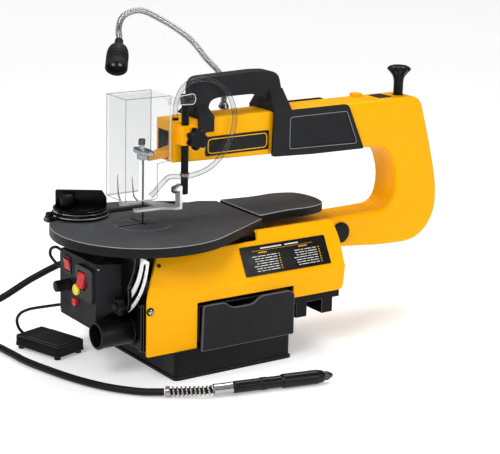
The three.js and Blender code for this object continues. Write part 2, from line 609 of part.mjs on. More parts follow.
// ---------------------------------------------------------------- controls
function controls() {
  const { left, right, face, back, bottom, top } = BOX;
  const section = [
    [left, bottom, 4], [35, bottom, 8], [right, 96, 4], [right, top, 6], [left, top, 4],
  ];
  const flare = slabZ(outline([[right - 0.2, -57], [90, -57], [90, -120], [right - 12 - 3, -101]]), 40, 170);
  const inner = slabY(outline(inset(section, WALL)), face + WALL, back + 1);
  const narrowInner = cut(inner, flare.translate([-WALL, 0, 0]));
  const shell = cut(slabY(outline(section), face, back), flare, narrowInner);
  const housing = slabY(rectangle(-5, 40, 95, 140, 6), face - 4, face + 1);
  const rockerHole = block(-41.5, -26.5, face - 5, face + 5, 121.5, 138.5);
  const paddleHole = block(3, 23, face - 8, face + 5, 109, 133);
  const roundHole = (x, z, radius) => pin([x, face - 8, z], Y, 16, radius);
  const box = cut(
    join(shell, housing), rockerHole, paddleHole, roundHole(-1, 105, 8.3), roundHole(-11, 85, 6),
    roundHole(-29, 104, 3.6),
  );
  place("control_box", box, DARK_GREY());

  const rocker = slabX(
    outline([[face - 1, 122.5], [face + 3, 123], [face + 3, 137], [face - 3.5, 137.5], [face - 1.6, 130]]),
    -41, -27,
  );
  place("light_switch", rocker, RED());
  const paddle = slabX(
    outline([[face - 9, 112, 1], [face - 1, 112, 1], [face - 1, 131, 1], [face - 5, 131, 1]]), 4.5, 21.5,
  );
  place("power_paddle", paddle, RED());
  const key = join(pin([-1, face - 8, 105], Y, 9, 7.4), pin([-1, face, 105], Y, 9, 3));
  place("safety_key", key, material("#f0d860", 0.4));
  place("reset_button", pin([-11, face - 4, 85], Y, 8, 5.4), RED());
  const dial = join(
    lobedKnob([-29, face - GAP, 104], Y.clone().negate(), 7.4, 8.2, 14, 21),
    pin([-29, face - 1, 104], Y, 9, 3),
  );
  place("speed_dial", dial, BLACK());
  const port = turned(
    [[15, 0], [18.3, 0], [18.3, 5], [17.5, 6], [17.5, 47], [19, 48], [19, 51], [15, 51], [15, 0]],
    [58, -102.2, 60], Y, 24,
  );
  place("dust_port", port, BLACK());
}

// ---------------------------------------------------------------- pedal
const PEDAL = { x: -75, y: -99, turn: 17 };

function pedal() {
  const settle = (shape) => shape.rotate([0, 0, PEDAL.turn]).translate([PEDAL.x, PEDAL.y, 0]);
  const body = slabZ(rectangle(-41, 41, -25, 25, 3), 4, 19);
  const well = block(-20, 38.5, -22.5, 22.5, 8, 30);
  const feet = [[-34, -19], [34, -19], [-34, 19], [34, 19]].map(([x, y]) => pin([x, y, 0], Z, 5, 4.5, 12));
  place("pedal_base", settle(cut(join(body, ...feet), well)), BLACK());
  place("pedal_plate", settle(slabZ(rectangle(-19.5, 38, -22, 22, 1.5), 16.5, 21.5)), DARK_GREY());
}

// ---------------------------------------------------------------- cords, shaft and handpiece
const FLOOR = SHEATH / 2 + 0.8; // the sheath's centre where it lies on the floor
const FLEX_ROUTE = [
  [-139.8, 30, 78], [-160, 17, 83], [-178, -12, 86], [-190, -62, 67], [-203, -110, 39], [-222, -160, 15],
  [-240, -210, FLOOR], [-242, -262, FLOOR], [-218, -300, FLOOR], [-175, -314, FLOOR], [-134, -299, FLOOR],
  [-121, -262, FLOOR], [-131, -232, FLOOR], [-143, -206, FLOOR], [-139, -178, FLOOR], [-114, -161, FLOOR],
  [-80, -156, FLOOR], [-41, -153, FLOOR], [9, -142, FLOOR], [61, -126, FLOOR], [102, -106, FLOOR],
  [135, -79, FLOOR], [152, -57.5, 6.5],
];
const PEDAL_CORD = [
  [-56.8, -84, 68], [-70, -96, 64], [-88, -107, 58], [-104, -115, 52], [-118, -121, 43], [-126, -122, 32],
  [-127, -119, 20], [-122.5, -114.5, 13], [-115.2, -111.4, 12],
];
const JUMPER = [
  [-56.4, -88, 141], [-66, -92, 145], [-76, -95, 141], [-79, -95, 132], [-73, -91, 123], [-64, -86, 117],
  [-56.4, -83, 114],
];
const RELIEF = [
  [153.2, -55.6, 6.9], [166, -38, 8], [176, -22, 8.8], [181.6, -13, 9.3], [183.7, -6, 9.5],
];
const TOOL_DIRECTION = new THREE.Vector3(33, 161, 0).normalize();

function cordsAndHandpiece() {
  place("flex_shaft", hose(FLEX_ROUTE, SHEATH, 54), SHEATHING());
  place("pedal_cord", hose(PEDAL_CORD, CORD, 18), SHEATHING());
  place("jumper_cable", hose(JUMPER, CORD, 14), SHEATHING());
  place("spring_relief", hose(RELIEF, 13, 10, 12), STEEL());
  const start = [184.4, -3.6, 9.6];
  const grip = turned(
    [
      [0, 0], [6.5, 0], [7, 2], [7, 11], [5.9, 12], [5.9, 14], [7, 15], [7, 25], [7.8, 27], [7.8, 62],
      [8.4, 63], [8.4, 70], [7.8, 71], [7.8, 90], [9.3, 93], [9.3, 140], [8, 148], [6.5, 150], [0, 150],
    ],
    start, TOOL_DIRECTION, 36,
  );
  place("handpiece", grip, BLACK());
  const noseStart = new THREE.Vector3(...start).addScaledVector(TOOL_DIRECTION, 150.4).toArray();
  const jaws = turned([[0, 0], [6, 0], [6, 5], [2.6, 12], [0, 12]], noseStart, TOOL_DIRECTION, 28);
  place("collet", jaws, STEEL());
}

baseTray();
mainFrame();
covers();
frontPlate();
tiltScale();
storage();
plates();
armHousing();
arms();
blade();
tensionKnob();
motor();
table();
mitreGuide();
holdDown();
guard();
hoseAndLamp();
controls();
pedal();
cordsAndHandpiece();

export default saw;
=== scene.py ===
import json
import math

import bmesh
import bpy
from mathutils import Matrix, Vector


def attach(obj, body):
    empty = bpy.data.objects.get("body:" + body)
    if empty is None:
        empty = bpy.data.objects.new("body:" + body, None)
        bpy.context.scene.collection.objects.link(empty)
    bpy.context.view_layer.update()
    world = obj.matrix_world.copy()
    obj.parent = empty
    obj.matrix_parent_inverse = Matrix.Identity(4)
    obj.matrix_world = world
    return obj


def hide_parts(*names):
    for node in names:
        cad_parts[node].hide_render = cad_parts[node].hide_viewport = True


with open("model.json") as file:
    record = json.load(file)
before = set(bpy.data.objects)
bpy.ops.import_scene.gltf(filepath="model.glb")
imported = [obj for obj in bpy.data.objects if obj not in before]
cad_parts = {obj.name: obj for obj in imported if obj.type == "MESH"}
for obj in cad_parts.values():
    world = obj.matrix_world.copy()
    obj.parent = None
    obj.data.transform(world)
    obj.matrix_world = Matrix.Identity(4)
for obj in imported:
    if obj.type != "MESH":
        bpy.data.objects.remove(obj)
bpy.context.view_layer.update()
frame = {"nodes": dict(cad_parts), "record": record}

MM = 0.001
NODES = frame["nodes"]
BODY = {node: body for body, members in frame["record"]["behaviour"]["bodies"].items() for node in members}
SLOT = {part["node"]: part["material_slot"] for part in frame["record"]["subparts"]}
X, Y, Z = Vector((1, 0, 0)), Vector((0, 1, 0)), Vector((0, 0, 1))


# ------------------------------------------------------------------ camera
def make_camera():
    azimuth, elevation, roll = math.radians(55), math.radians(14.5), math.radians(1.5)
    target = Vector((0.060, 0.150, 0.190))
    distance = 2.135
    back = Vector((
        math.sin(azimuth) * math.cos(elevation), -math.cos(azimuth) * math.cos(elevation),
        math.sin(elevation),
    ))
    right = Vector((math.cos(azimuth), math.sin(azimuth), 0))
    up = back.cross(right)
    level = math.cos(roll) * right + math.sin(roll) * up
    upright = -math.sin(roll) * right + math.cos(roll) * up
    data = bpy.data.cameras.new("camera")
    data.lens = 115.2
    data.sensor_width = 36
    data.shift_x = -0.0254
    data.shift_y = -0.0284
    data.clip_start = 0.1
    data.clip_end = 20
    camera = bpy.data.objects.new("camera", data)
    bpy.context.scene.collection.objects.link(camera)
    place = Matrix((level, upright, back)).transposed().to_4x4()
    place.translation = target + back * distance
    camera.matrix_world = place
    bpy.context.scene.camera = camera


make_camera()


# ------------------------------------------------------------------ materials
class Shader:
    """A procedural material around one Principled BSDF."""

    def __init__(self, name, colour, roughness, metallic=0.0):
        self.material = bpy.data.materials.new(name)
        self.material.use_nodes = True
        self.tree = self.material.node_tree
        self.bsdf = self.tree.nodes["Principled BSDF"]
        self.colour = linear(colour)
        self.set("Base Color", self.colour)
        self.set("Roughness", roughness)
        self.set("Metallic", metallic)
        self.coordinates = self.add("ShaderNodeTexCoord").outputs["Object"]
        self.height = None

    def add(self, kind, **settings):
        node = self.tree.nodes.new(kind)
        for key, value in settings.items():
            setattr(node, key, value)
        return node

    def link(self, source, target):
        self.tree.links.new(source, target)

    def set(self, socket, value):
        self.bsdf.inputs[socket].default_value = value
        return self

    def noise(self, scale, detail=3.0, stretch=(1, 1, 1)):
        mapping = self.add("ShaderNodeMapping")
        mapping.inputs["Scale"].default_value = stretch
        self.link(self.coordinates, mapping.inputs["Vector"])
        noise = self.add("ShaderNodeTexNoise")
        noise.inputs["Scale"].default_value = scale
        noise.inputs["Detail"].default_value = detail
        self.link(mapping.outputs["Vector"], noise.inputs["Vector"])
        return noise.outputs["Fac"]

    def spread(self, value, low, high, start=0.3, end=0.7):
        spread = self.add("ShaderNodeMapRange")
        spread.inputs["From Min"].default_value = start
        spread.inputs["From Max"].default_value = end
        spread.inputs["To Min"].default_value = low
        spread.inputs["To Max"].default_value = high
        self.link(value, spread.inputs["Value"])
        return spread.outputs["Result"]

    def tint(self, factor, other):
        """The colour so far turns to another one by a factor."""
        mix = self.add("ShaderNodeMix", data_type="RGBA")
        self.link(factor, mix.inputs["Factor"])
        base = self.bsdf.inputs["Base Color"]
        if base.is_linked:
            self.link(base.links[0].from_socket, mix.inputs["A"])
        else:
            mix.inputs["A"].default_value = self.colour
        mix.inputs["B"].default_value = linear(other)
        self.link(mix.outputs["Result"], base)
        return self

    def vary_roughness(self, scale, low, high, stretch=(1, 1, 1)):
        self.link(self.spread(self.noise(scale, 4, stretch), low, high), self.bsdf.inputs["Roughness"])
        return self

    def bump(self, value, strength, distance=0.0002):
        bump = self.add("ShaderNodeBump")
        bump.inputs["Strength"].default_value = strength
        bump.inputs["Distance"].default_value = distance
        self.link(value, bump.inputs["Height"])
        normal = self.bsdf.inputs["Normal"]
        if normal.is_linked:
            self.link(normal.links[0].from_socket, bump.inputs["Normal"])
        self.link(bump.outputs["Normal"], normal)
        return self


def linear(text):
    values = [int(text[i:i + 2], 16) / 255 for i in (1, 3, 5)]
    return [v / 12.92 if v <= 0.04045 else ((v + 0.055) / 1.055) ** 2.4 for v in values] + [1]


def painted(name, colour, shade, roughness=0.34, gloss=0.35):
    """Smooth powder coat: orange peel and faint mottling."""
    s = Shader(name, colour, roughness)
    s.set("Specular IOR Level", gloss)
    s.tint(s.spread(s.noise(9, 4), 0, 0.5), shade)
    s.vary_roughness(30, roughness - 0.06, roughness + 0.1)
    s.bump(s.noise(520, 2), 0.10, 0.0002)
    return s.material


def moulded(name, colour, pale, roughness=0.55, grain=1300, strength=0.3):
    """Fine spark-eroded grain of an injection moulding."""
    s = Shader(name, colour, roughness)
    s.set("Specular IOR Level", 0.16)
    s.tint(s.spread(s.noise(14, 5), 0, 0.6), pale)
    s.vary_roughness(60, roughness - 0.08, roughness + 0.1)
    s.bump(s.noise(grain, 2), strength, 0.0002)
    return s.material


def brushed(name, colour, dark, roughness, stretch=(1, 1, 1), scale=700):
    s = Shader(name, colour, roughness, 1.0)
    s.tint(s.spread(s.noise(25, 4), 0, 0.6), dark)
    lines = s.noise(scale, 3, stretch)
    s.vary_roughness(scale, roughness - 0.08, roughness + 0.12, stretch)
    s.bump(lines, 0.15, 0.0001)
    return s.material


def table_iron():
    """Fine-ground top with cast grain, darker on the rim below the working face, with a painted highlight
    along the rounded edge between them.
    """
    s = Shader("table_iron", "#454648", 0.4)
    s.set("Specular IOR Level", 0.15)
    s.tint(s.spread(s.noise(12, 6), 0, 0.55), "#3b3c3f")
    s.tint(s.spread(s.noise(900, 2), 0, 0.35, 0.45, 0.75), "#626366")
    parts = s.add("ShaderNodeSeparateXYZ")
    normal = s.add("ShaderNodeTexCoord").outputs["Normal"]
    s.link(normal, parts.inputs[0])
    upward = parts.outputs["Z"]
    # painted highlight: faces on the rounded edge between top and rim turn lighter
    s.tint(s.spread(upward, 1, 0, 0.9, 0.97), "#a5a6a8")
    s.tint(s.spread(upward, 1, 0, 0.3, 0.6), "#121314")
    s.vary_roughness(45, 0.36, 0.52)
    s.bump(s.noise(1500, 2), 0.35, 0.0002)
    s.bump(s.noise(180, 3), 0.1, 0.0003)
    return s.material


def clear_plastic(name, tint, roughness, alpha):
    """Clear polycarbonate with faint scuffs and hazy patches."""
    s = Shader(name, tint, roughness)
    s.vary_roughness(40, roughness, roughness + 0.12)
    s.bump(s.noise(90, 3), 0.04, 0.0003)
    s.set("IOR", 1.5).set("Specular IOR Level", 0.6).set("Alpha", alpha)
    return s.material


def clear_hose():
    """Clear vinyl, denser where the wall is seen edge on."""
    s = Shader("clear_tube", "#3f4347", 0.07)
    s.vary_roughness(60, 0.06, 0.16)
    s.bump(s.noise(200, 2), 0.05, 0.0002)
    edge = s.add("ShaderNodeLayerWeight")
    edge.inputs["Blend"].default_value = 0.35
    s.link(s.spread(edge.outputs["Facing"], 0.18, 0.96, 0.15, 0.72), s.bsdf.inputs["Alpha"])
    return s.material


def glossy(name, colour, shade, roughness=0.25):
    s = Shader(name, colour, roughness)
    s.tint(s.spread(s.noise(40, 4), 0, 0.5), shade)
    s.vary_roughness(80, roughness - 0.05, roughness + 0.12)
    s.bump(s.noise(700, 2), 0.06, 0.0002)
    s.set("Specular IOR Level", 0.22)
    return s.material


def led():
    s = Shader("led_lens", "#8b8a80", 0.2)
    s.tint(s.spread(s.noise(1200, 1), 0, 0.3), "#a5a078")
    return s.material


MATERIAL = {
    "yellow": painted("yellow_paint", "#ffb400", "#f9a900", 0.28, 0.1),
    "cast_yellow": painted("yellow_casting", "#ffb600", "#f9aa00", 0.32, 0.1),
    "dark_metal": painted("black_enamel", "#060607", "#0b0b0c", 0.22, 0.13),
    "table_metal": table_iron(),
    "grey_plastic": moulded("grey_plastic", "#1b1c1e", "#232427"),
    "black_plastic": moulded("black_plastic", "#08080a", "#0f0f11", 0.36),
    "black_gloss": glossy("black_gloss", "#070708", "#0f0f11", 0.24),
    "steel": brushed("bright_steel", "#b4b6ba", "#6c6f74", 0.2),
    "blade_steel": brushed("blade_steel", "#3c3e42", "#26282b", 0.3, (1, 1, 0.04)),
    "white_scale": glossy("printed_white", "#fafaf8", "#f0f0ee", 0.35),
    "red": glossy("red_plastic", "#d42a31", "#b81f28"),
    "key_yellow": glossy("key_yellow", "#f2df4e", "#e2c93a"),
    "clear": clear_plastic("clear_guard", "#747b81", 0.05, 0.095),
    "clear_tube": clear_hose(),
    "sheath": moulded("black_sheath", "#111112", "#1c1c1e", 0.45, 900, 0.2),
}
PRINT = glossy("white_print", "#e8e8e6", "#d6d6d2", 0.4)
PRINT_YELLOW = glossy("yellow_print", "#ffc01f", "#eda90a", 0.4)
BLACK_STEEL = brushed("black_screw", "#4b4c50", "#2a2b2e", 0.35)
LED = led()
EDGE = clear_plastic("guard_edge", "#6f757a", 0.15, 0.75)
EDGE_PALE = clear_plastic("guard_rim", "#dfe3e5", 0.15, 0.7)
HIGHLIGHT_LINE = glossy("painted_highlight_line", "#7c7d80", "#8b8c90", 0.3)
# a lighter grey strip, used as a painted highlight line
PLATED = brushed("plated_steel", "#eceef0", "#c4c7ca", 0.36)
# Lighter copies of the dark and yellow finishes, painted on rounded edges as highlights.
EDGE_HIGHLIGHT = {
    "dark_metal": painted("enamel_edge_highlight", "#3d3e41", "#505155", 0.3),
    "grey_plastic": moulded("grey_edge_highlight", "#515256", "#626367", 0.4),
    "black_plastic": moulded("black_edge_highlight", "#3a3b3e", "#4a4b4f", 0.4),
    "black_gloss": glossy("gloss_edge_highlight", "#45464a", "#55565a", 0.3),
    "yellow": painted("yellow_edge_highlight", "#ffc61f", "#ffbc0a", 0.3, 0.2),
}


def finish_node(node):
    """A CAD node that stays takes its material."""
    obj = NODES[node]
    obj.data.materials.clear()
    obj.data.materials.append(MATERIAL[SLOT[node]])


for name in NODES:
    finish_node(name)


# ------------------------------------------------------------------ mesh helpers
def add_piece(name, shape, body, slot, stands_for=(), materials=(), sharp=35):
    """An object of the look, on its body and slot, in place of the nodes it stands for."""
    mesh = to_mesh(shape, name, sharp)
    obj = bpy.data.objects.new(name, mesh)
    bpy.context.scene.collection.objects.link(obj)
    mesh.materials.clear()
    for material in materials or [MATERIAL[slot]]:
        mesh.materials.append(material)
    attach(obj, body)
    if stands_for:
        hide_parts(*stands_for)
    return obj


def piece_for(node, shape, materials=(), sharp=35):
    return add_piece(node + "_look", shape, BODY[node], SLOT[node], (node,), materials, sharp)


def to_mesh(shape, name, sharp=35):
    bmesh.ops.remove_doubles(shape, verts=shape.verts, dist=0.000002)
    bmesh.ops.recalc_face_normals(shape, faces=shape.faces)
    mesh = bpy.data.meshes.new(name)
    shape.to_mesh(mesh)
    shape.free()
    for face in mesh.polygons:
        face.use_smooth = True
    mesh.set_sharp_from_angle(angle=math.radians(sharp))
    return mesh


def weigh(obj):
    """Shading that keeps flat faces flat between rounded edges."""
    obj.modifiers.new("normals", "WEIGHTED_NORMAL").keep_sharp = True
    return obj


def soften(obj, width, angle=30, segments=3):
    """Rounded edges. Where the object has a second material, the bevel faces take it as a painted
    highlight.
    """
    bevel = obj.modifiers.new("bevel", "BEVEL")
    bevel.width = width * MM
    bevel.segments = segments
    bevel.limit_method = "ANGLE"
    bevel.angle_limit = math.radians(angle)
    if len(obj.data.materials) > 1:
        bevel.material = 1
    return weigh(obj)


def paint_edge_highlight(obj, slot):
    """Painted highlight: lighter rounded edges round the top of a dark moulding."""
    obj.data.materials.append(EDGE_HIGHLIGHT[slot])
    for face in obj.data.polygons:
        if 0.15 < face.normal.z < 0.96:
            face.material_index = 1


def refine(node, width, angle=30, segments=3, materials=()):
    """The node's own shape with rounded edges."""
    shape = bmesh.new()
    shape.from_mesh(NODES[node].data)
    bmesh.ops.remove_doubles(shape, verts=shape.verts, dist=0.00001)
    bmesh.ops.dissolve_limit(shape, angle_limit=math.radians(0.5), verts=shape.verts, edges=shape.edges)
    for face in shape.faces:
        face.material_index = 0
    slot = SLOT[node]
    # Dark and yellow finishes bring a lighter second material that the bevel paints on as a highlight.
    looks = materials or [MATERIAL[slot]] + ([EDGE_HIGHLIGHT[slot]] if slot in EDGE_HIGHLIGHT else [])
    return soften(piece_for(node, shape, looks), width, angle, segments)


def outline(corners, steps=8):
    """Points round a shape whose corners are (u, v) or (u, v, radius)."""
    points = []
    count = len(corners)
    for i, corner in enumerate(corners):
        here = Vector(corner[:2])
        radius = corner[2] if len(corner) > 2 else 0
        if not radius:
            points.append(here)
            continue
        before = Vector(corners[i - 1][:2]) - here
        after = Vector(corners[(i + 1) % count][:2]) - here
        start = here + before.normalized() * min(radius, 0.48 * before.length)
        end = here + after.normalized() * min(radius, 0.48 * after.length)
        for k in range(steps + 1):
            t = k / steps
            points.append(start * (1 - t) ** 2 + here * 2 * t * (1 - t) + end * t * t)
    return points


def rectangle(low, high, radius=0, steps=5):
    """A rounded rectangle between two opposite corners."""
    corners = (low, (high[0], low[1]), high, (low[0], high[1]))
    return outline([(*corner, radius) for corner in corners], steps)


def circle(u, v, radius, steps=48):
    turn = 2 * math.pi / steps
    return [
        Vector((u + radius * math.cos(i * turn), v + radius * math.sin(i * turn))) for i in range(steps)
    ]


def inset(points, margin):
    """The outline moved inward; its points run counter-clockwise."""
    moved = []
    for i, here in enumerate(points):
        a = (here - points[i - 1]).normalized()
        b = (points[(i + 1) % len(points)] - here).normalized()
        bisector = Vector((-a.y - b.y, a.x + b.x)).normalized()
        reach = margin / max(0.3, bisector.x * -a.y + bisector.y * a.x)
        moved.append(here + bisector * reach)
    return moved


def counter_clockwise(points):
    area = sum(a.x * b.y - b.x * a.y for a, b in zip(points, points[1:] + points[:1]))
    return points if area > 0 else points[::-1]


AXES = {"x": (Y, Z, X), "y": (X, Z, Y), "z": (X, Y, Z)}


def loft(shape, rings, close_ends=True):
    """Joins rings of points, all with as many points, into one skin."""
    made = [[shape.verts.new(point) for point in ring] for ring in rings]
    for low, high in zip(made, made[1:]):
        for i in range(len(low)):
            j = (i + 1) % len(low)
            shape.faces.new((low[i], low[j], high[j], high[i]))
    if close_ends:
        shape.faces.new(made[0][::-1])
        shape.faces.new(made[-1])
    return shape


def prism(points, low, high, axis, round_low=0.0, round_high=0.0, shape=None, steps=4):
    """A slab along an axis from an outline in millimetres, with rounded edges at its ends."""
    shape = shape or bmesh.new()
    points = counter_clockwise(points)
    u, v, w = AXES[axis]
    levels = []
    for k in range(steps + 1):
        turn = math.pi / 2 * k / steps
        levels.append((low + round_low * (1 - math.sin(turn)), round_low * (1 - math.cos(turn))))
        if not round_low:
            break
    levels.reverse()
    for k in range(steps + 1):
        turn = math.pi / 2 * k / steps
        levels.append((high - round_high * (1 - math.sin(turn)), round_high * (1 - math.cos(turn))))
        if not round_high:
            break
    rings = []
    for level, margin in levels:
        ring = inset(points, margin) if margin > 0.0001 else points
        rings.append([(p.x * u + p.y * v + level * w) * MM for p in ring])
    return loft(shape, rings)


def block(x, y, z, edge=0.0, shape=None):
    """A box between pairs of coordinates in millimetres."""
    return prism(rectangle((x[0], y[0]), (x[1], y[1])), z[0], z[1], "z", edge, edge, shape, 3)


def turned_rings(profile, start, direction, segments, lobes=None):
    """Rings of (radius, distance) in millimetres along a line.

    Lobes are (count, depth, radius beyond which they are cut).
    """
    turn = direction.normalized().to_track_quat("Z", "Y")
    rings = []
    for radius, along in profile:
        ring = []
        for i in range(segments):
            angle = 2 * math.pi * i / segments
            reach = max(radius, 0.01)
            if lobes and radius > lobes[2]:
                reach -= lobes[1] * (0.5 - 0.5 * math.cos(lobes[0] * angle))
            around = Vector((reach * math.cos(angle), reach * math.sin(angle), along))
            ring.append((Vector(start) + turn @ around) * MM)
        rings.append(ring)
    return rings


def turned(profile, start, direction, segments=48, shape=None, lobes=None):
    """A turned solid, by the profile that turned_rings takes."""
    return loft(shape or bmesh.new(), turned_rings(profile, start, direction, segments, lobes))


def smooth_route(points, steps):
    """A centripetal Catmull-Rom curve through points, evenly spaced."""
    knots = [Vector(p) for p in points]
    knots = [2 * knots[0] - knots[1]] + knots + [2 * knots[-1] - knots[-2]]
    fine = []
    for p0, p1, p2, p3 in zip(knots, knots[1:], knots[2:], knots[3:]):
        d0, d1, d2 = (max((b - a).length ** 0.5, 1e-4) for a, b in ((p0, p1), (p1, p2), (p2, p3)))
        t1 = ((p1 - p0) / d0 - (p2 - p0) / (d0 + d1) + (p2 - p1) / d1) * d1
        t2 = ((p2 - p1) / d1 - (p3 - p1) / (d1 + d2) + (p3 - p2) / d2) * d1
        for k in range(24):
            t = k / 24
            fine.append(
                (2 * t ** 3 - 3 * t ** 2 + 1) * p1 + (t ** 3 - 2 * t ** 2 + t) * t1
                + (3 * t ** 2 - 2 * t ** 3) * p2 + (t ** 3 - t ** 2) * t2
            )
    fine.append(knots[-2])
    lengths = [0.0]
    for a, b in zip(fine, fine[1:]):
        lengths.append(lengths[-1] + (b - a).length)
    spaced, at = [], 0
    for k in range(steps + 1):
        goal = lengths[-1] * k / steps
        while at < len(fine) - 2 and lengths[at + 1] < goal:
            at += 1
        share = (goal - lengths[at]) / max(lengths[at + 1] - lengths[at], 1e-9)
        spaced.append(fine[at].lerp(fine[at + 1], min(share, 1)))
    return spaced


def frames_along(route):
    """A direction and two sideways vectors at each point, without twist."""
    result = []
    side = None
    for i, here in enumerate(route):
        ahead = (route[min(i + 1, len(route) - 1)] - route[max(i - 1, 0)]).normalized()
        if side is None:
            side = ahead.cross(Z if abs(ahead.z) < 0.9 else X).normalized()
        side = (side - ahead * side.dot(ahead)).normalized()
        result.append((here, ahead, side, ahead.cross(side)))
    return result


def tube(route, radius, sides=20, shape=None):
    """A tube along a route in millimetres; radius is a number or a function of the ring's index."""
    shape = shape or bmesh.new()
    rings = []
    for k, (here, _, side, up) in enumerate(frames_along(route)):
        reach = radius(k) if callable(radius) else radius
        rings.append([
            (here + reach * (math.cos(a) * side + math.sin(a) * up)) * MM
            for a in (2 * math.pi * i / sides for i in range(sides))
        ])
    return loft(shape, rings)


def coil(route, radius, wire, turns):
    """A spring wound round a route."""
    placed = frames_along(route)
    per_turn = 16
    line = []
    for k in range(int(turns * per_turn) + 1):
        at = k / (turns * per_turn) * (len(placed) - 1)
        index = min(int(at), len(placed) - 2)
        here, _, side, up = placed[index]
        centre = here.lerp(placed[index + 1][0], at - index)
        angle = 2 * math.pi * k / per_turn
        line.append(centre + radius * (math.cos(angle) * side + math.sin(angle) * up))
    return tube(line, wire, 8)


def subtract(obj, *cutters):
    """Cuts closed shapes out of an object's mesh."""
    for cutter in cutters:
        tool = bpy.data.objects.new("cutter", to_mesh(cutter, "cutter"))
        bpy.context.scene.collection.objects.link(tool)
        cut = obj.modifiers.new("cut", "BOOLEAN")
        cut.operation = "DIFFERENCE"
        cut.solver = "EXACT"
        cut.object = tool
        bpy.context.view_layer.update()
        evaluated = obj.evaluated_get(bpy.context.evaluated_depsgraph_get())
        mesh = bpy.data.meshes.new_from_object(evaluated)
        obj.modifiers.remove(cut)
        obj.data = mesh
        bpy.data.objects.remove(tool)
    for face in obj.data.polygons:
        face.use_smooth = True
    obj.data.set_sharp_from_angle(angle=math.radians(35))
    return weigh(obj)


def screw(name, centre, normal, radius, body, material=None):
    """A pan-head screw with a cross recess."""
    r = radius
    profile = [
        (0, -0.3), (r, -0.3), (r, 0.35 * r), (0.86 * r, 0.62 * r), (0.5 * r, 0.78 * r), (0, 0.82 * r),
    ]
    head = turned(profile, centre, normal, 24)
    obj = add_piece(name, head, body, "steel", materials=[material or MATERIAL["steel"]])
    turn = normal.normalized().to_track_quat("Z", "Y").to_matrix().to_4x4()
    cutters = []
    for wide, long in ((0.16 * r, 0.62 * r), (0.62 * r, 0.16 * r)):
        slot = block((-wide, wide), (-long, long), (0.45 * r, 2 * r))
        slot.transform(Matrix.Translation(Vector(centre) * MM) @ turn)
        cutters.append(slot)
    subtract(obj, *cutters)


# ------------------------------------------------------------------ cords
SHEATH = 9.5
FLOOR = SHEATH / 2 + 0.8
FLEX_ROUTE = [
    (-139.8, 30, 78), (-160, 17, 83), (-178, -12, 86), (-190, -62, 67), (-203, -110, 39), (-222, -160, 15),
    (-240, -210, FLOOR), (-242, -262, FLOOR), (-218, -300, FLOOR), (-175, -314, FLOOR), (-134, -299, FLOOR),
    (-121, -262, FLOOR), (-131, -232, FLOOR), (-143, -206, FLOOR), (-139, -178, FLOOR), (-114, -161, FLOOR),
    (-80, -156, FLOOR), (-41, -153, FLOOR), (9, -142, FLOOR), (61, -126, FLOOR), (102, -106, FLOOR),
    (135, -79, FLOOR), (152, -57.5, 6.5),
]
PEDAL_CORD = [
    (-56.8, -84, 68), (-70, -96, 64), (-88, -107, 58), (-104, -115, 52), (-118, -121, 43), (-126, -122, 32),
    (-127, -119, 20), (-122.5, -114.5, 13), (-115.2, -111.4, 12),
]
JUMPER = [
    (-56.4, -88, 141), (-66, -92, 145), (-76, -95, 141), (-79, -95, 132), (-73, -91, 123), (-64, -86, 117),
    (-56.4, -83, 114),
]
AIR_HOSE = [
    (9, 43, 317.8), (11, 42, 335), (16, 46, 355), (17, 58, 366), (17, 79, 369), (18, 98, 364),
    (21, 112, 354), (26, 119, 339), (31, 121, 320), (33, 118, 301), (35, 110, 286), (37, 98, 270),
    (39, 84, 259), (41, 66, 252), (40.5, 40, 248), (22, 27, 245), (12, 22, 235), (8, 14, 224), (6, 8, 218),
]
RELIEF = [(153.2, -55.6, 6.9), (166, -38, 8), (176, -22, 8.8), (181.6, -13, 9.3), (183.7, -6, 9.5)]


GLANDS = {"gland_pedal": (-55, -83.5, 68), "gland_high": (-55, -88, 141), "gland_low": (-55, -83, 114)}


def cord_tube(node, points, steps, diameter, sides=16):
    """A cord's look along its route, and that route in metres."""
    route = smooth_route(points, steps)
    obj = piece_for(node, tube(route, diameter / 2, sides), sharp=60)
    return obj, [tuple(p * MM) for p in route]


def handpiece_fittings():
    """The spring relief with its core and collar, and the sleeve behind the handpiece."""
    route = smooth_route(RELIEF, 40)
    relief = piece_for("spring_relief", coil(route, 5.4, 1.25, 11), sharp=50)
    core = add_piece("relief_core", tube(route, 4.1, 16), "frame", "sheath", sharp=60)
    collar_profile = [(0, 0), (6.6, 0), (7, 0.5), (7, 4.5), (6.5, 5), (0, 5)]
    collar = turned(collar_profile, route[0], route[2] - route[0], 36)
    collar = add_piece("relief_collar", collar, "frame", "steel")
    ferrule_profile = [
        (6.9, -1.6), (7.5, -1.2), (7.5, 2.4), (7.2, 2.8), (7.2, 19.6), (7.5, 20), (7.5, 23.2), (7.1, 23.6),
    ]
    ferrule = turned(ferrule_profile, (184.4, -3.6, 9.6), route[-1] - route[-2], 48)
    ferrule = add_piece("shaft_ferrule", ferrule, "frame", "steel")
    return [relief, core, collar, ferrule]


def cords():
    flex, path = cord_tube("flex_shaft", FLEX_ROUTE, 420, SHEATH, 20)
    shaft_pieces = [*handpiece_fittings(), NODES["handpiece"], NODES["collet"]]
    NODES["collet"].data.materials[0] = BLACK_STEEL
    pedal_cord, path = cord_tube("pedal_cord", PEDAL_CORD, 90, 4)
    pedal_pieces = pedal()
    jumper, path = cord_tube("jumper_cable", JUMPER, 60, 4)
    air, path = cord_tube("air_hose", AIR_HOSE, 200, 7, 20)
    gland_profile = [(0, -0.4), (4.2, -0.4), (4.2, 0.5), (3.4, 1), (2.9, 1), (0, 1)]
    for name, centre in GLANDS.items():
        gland = turned(gland_profile, centre, -X, 28)
        add_piece(name, gland, "frame", "black_plastic")


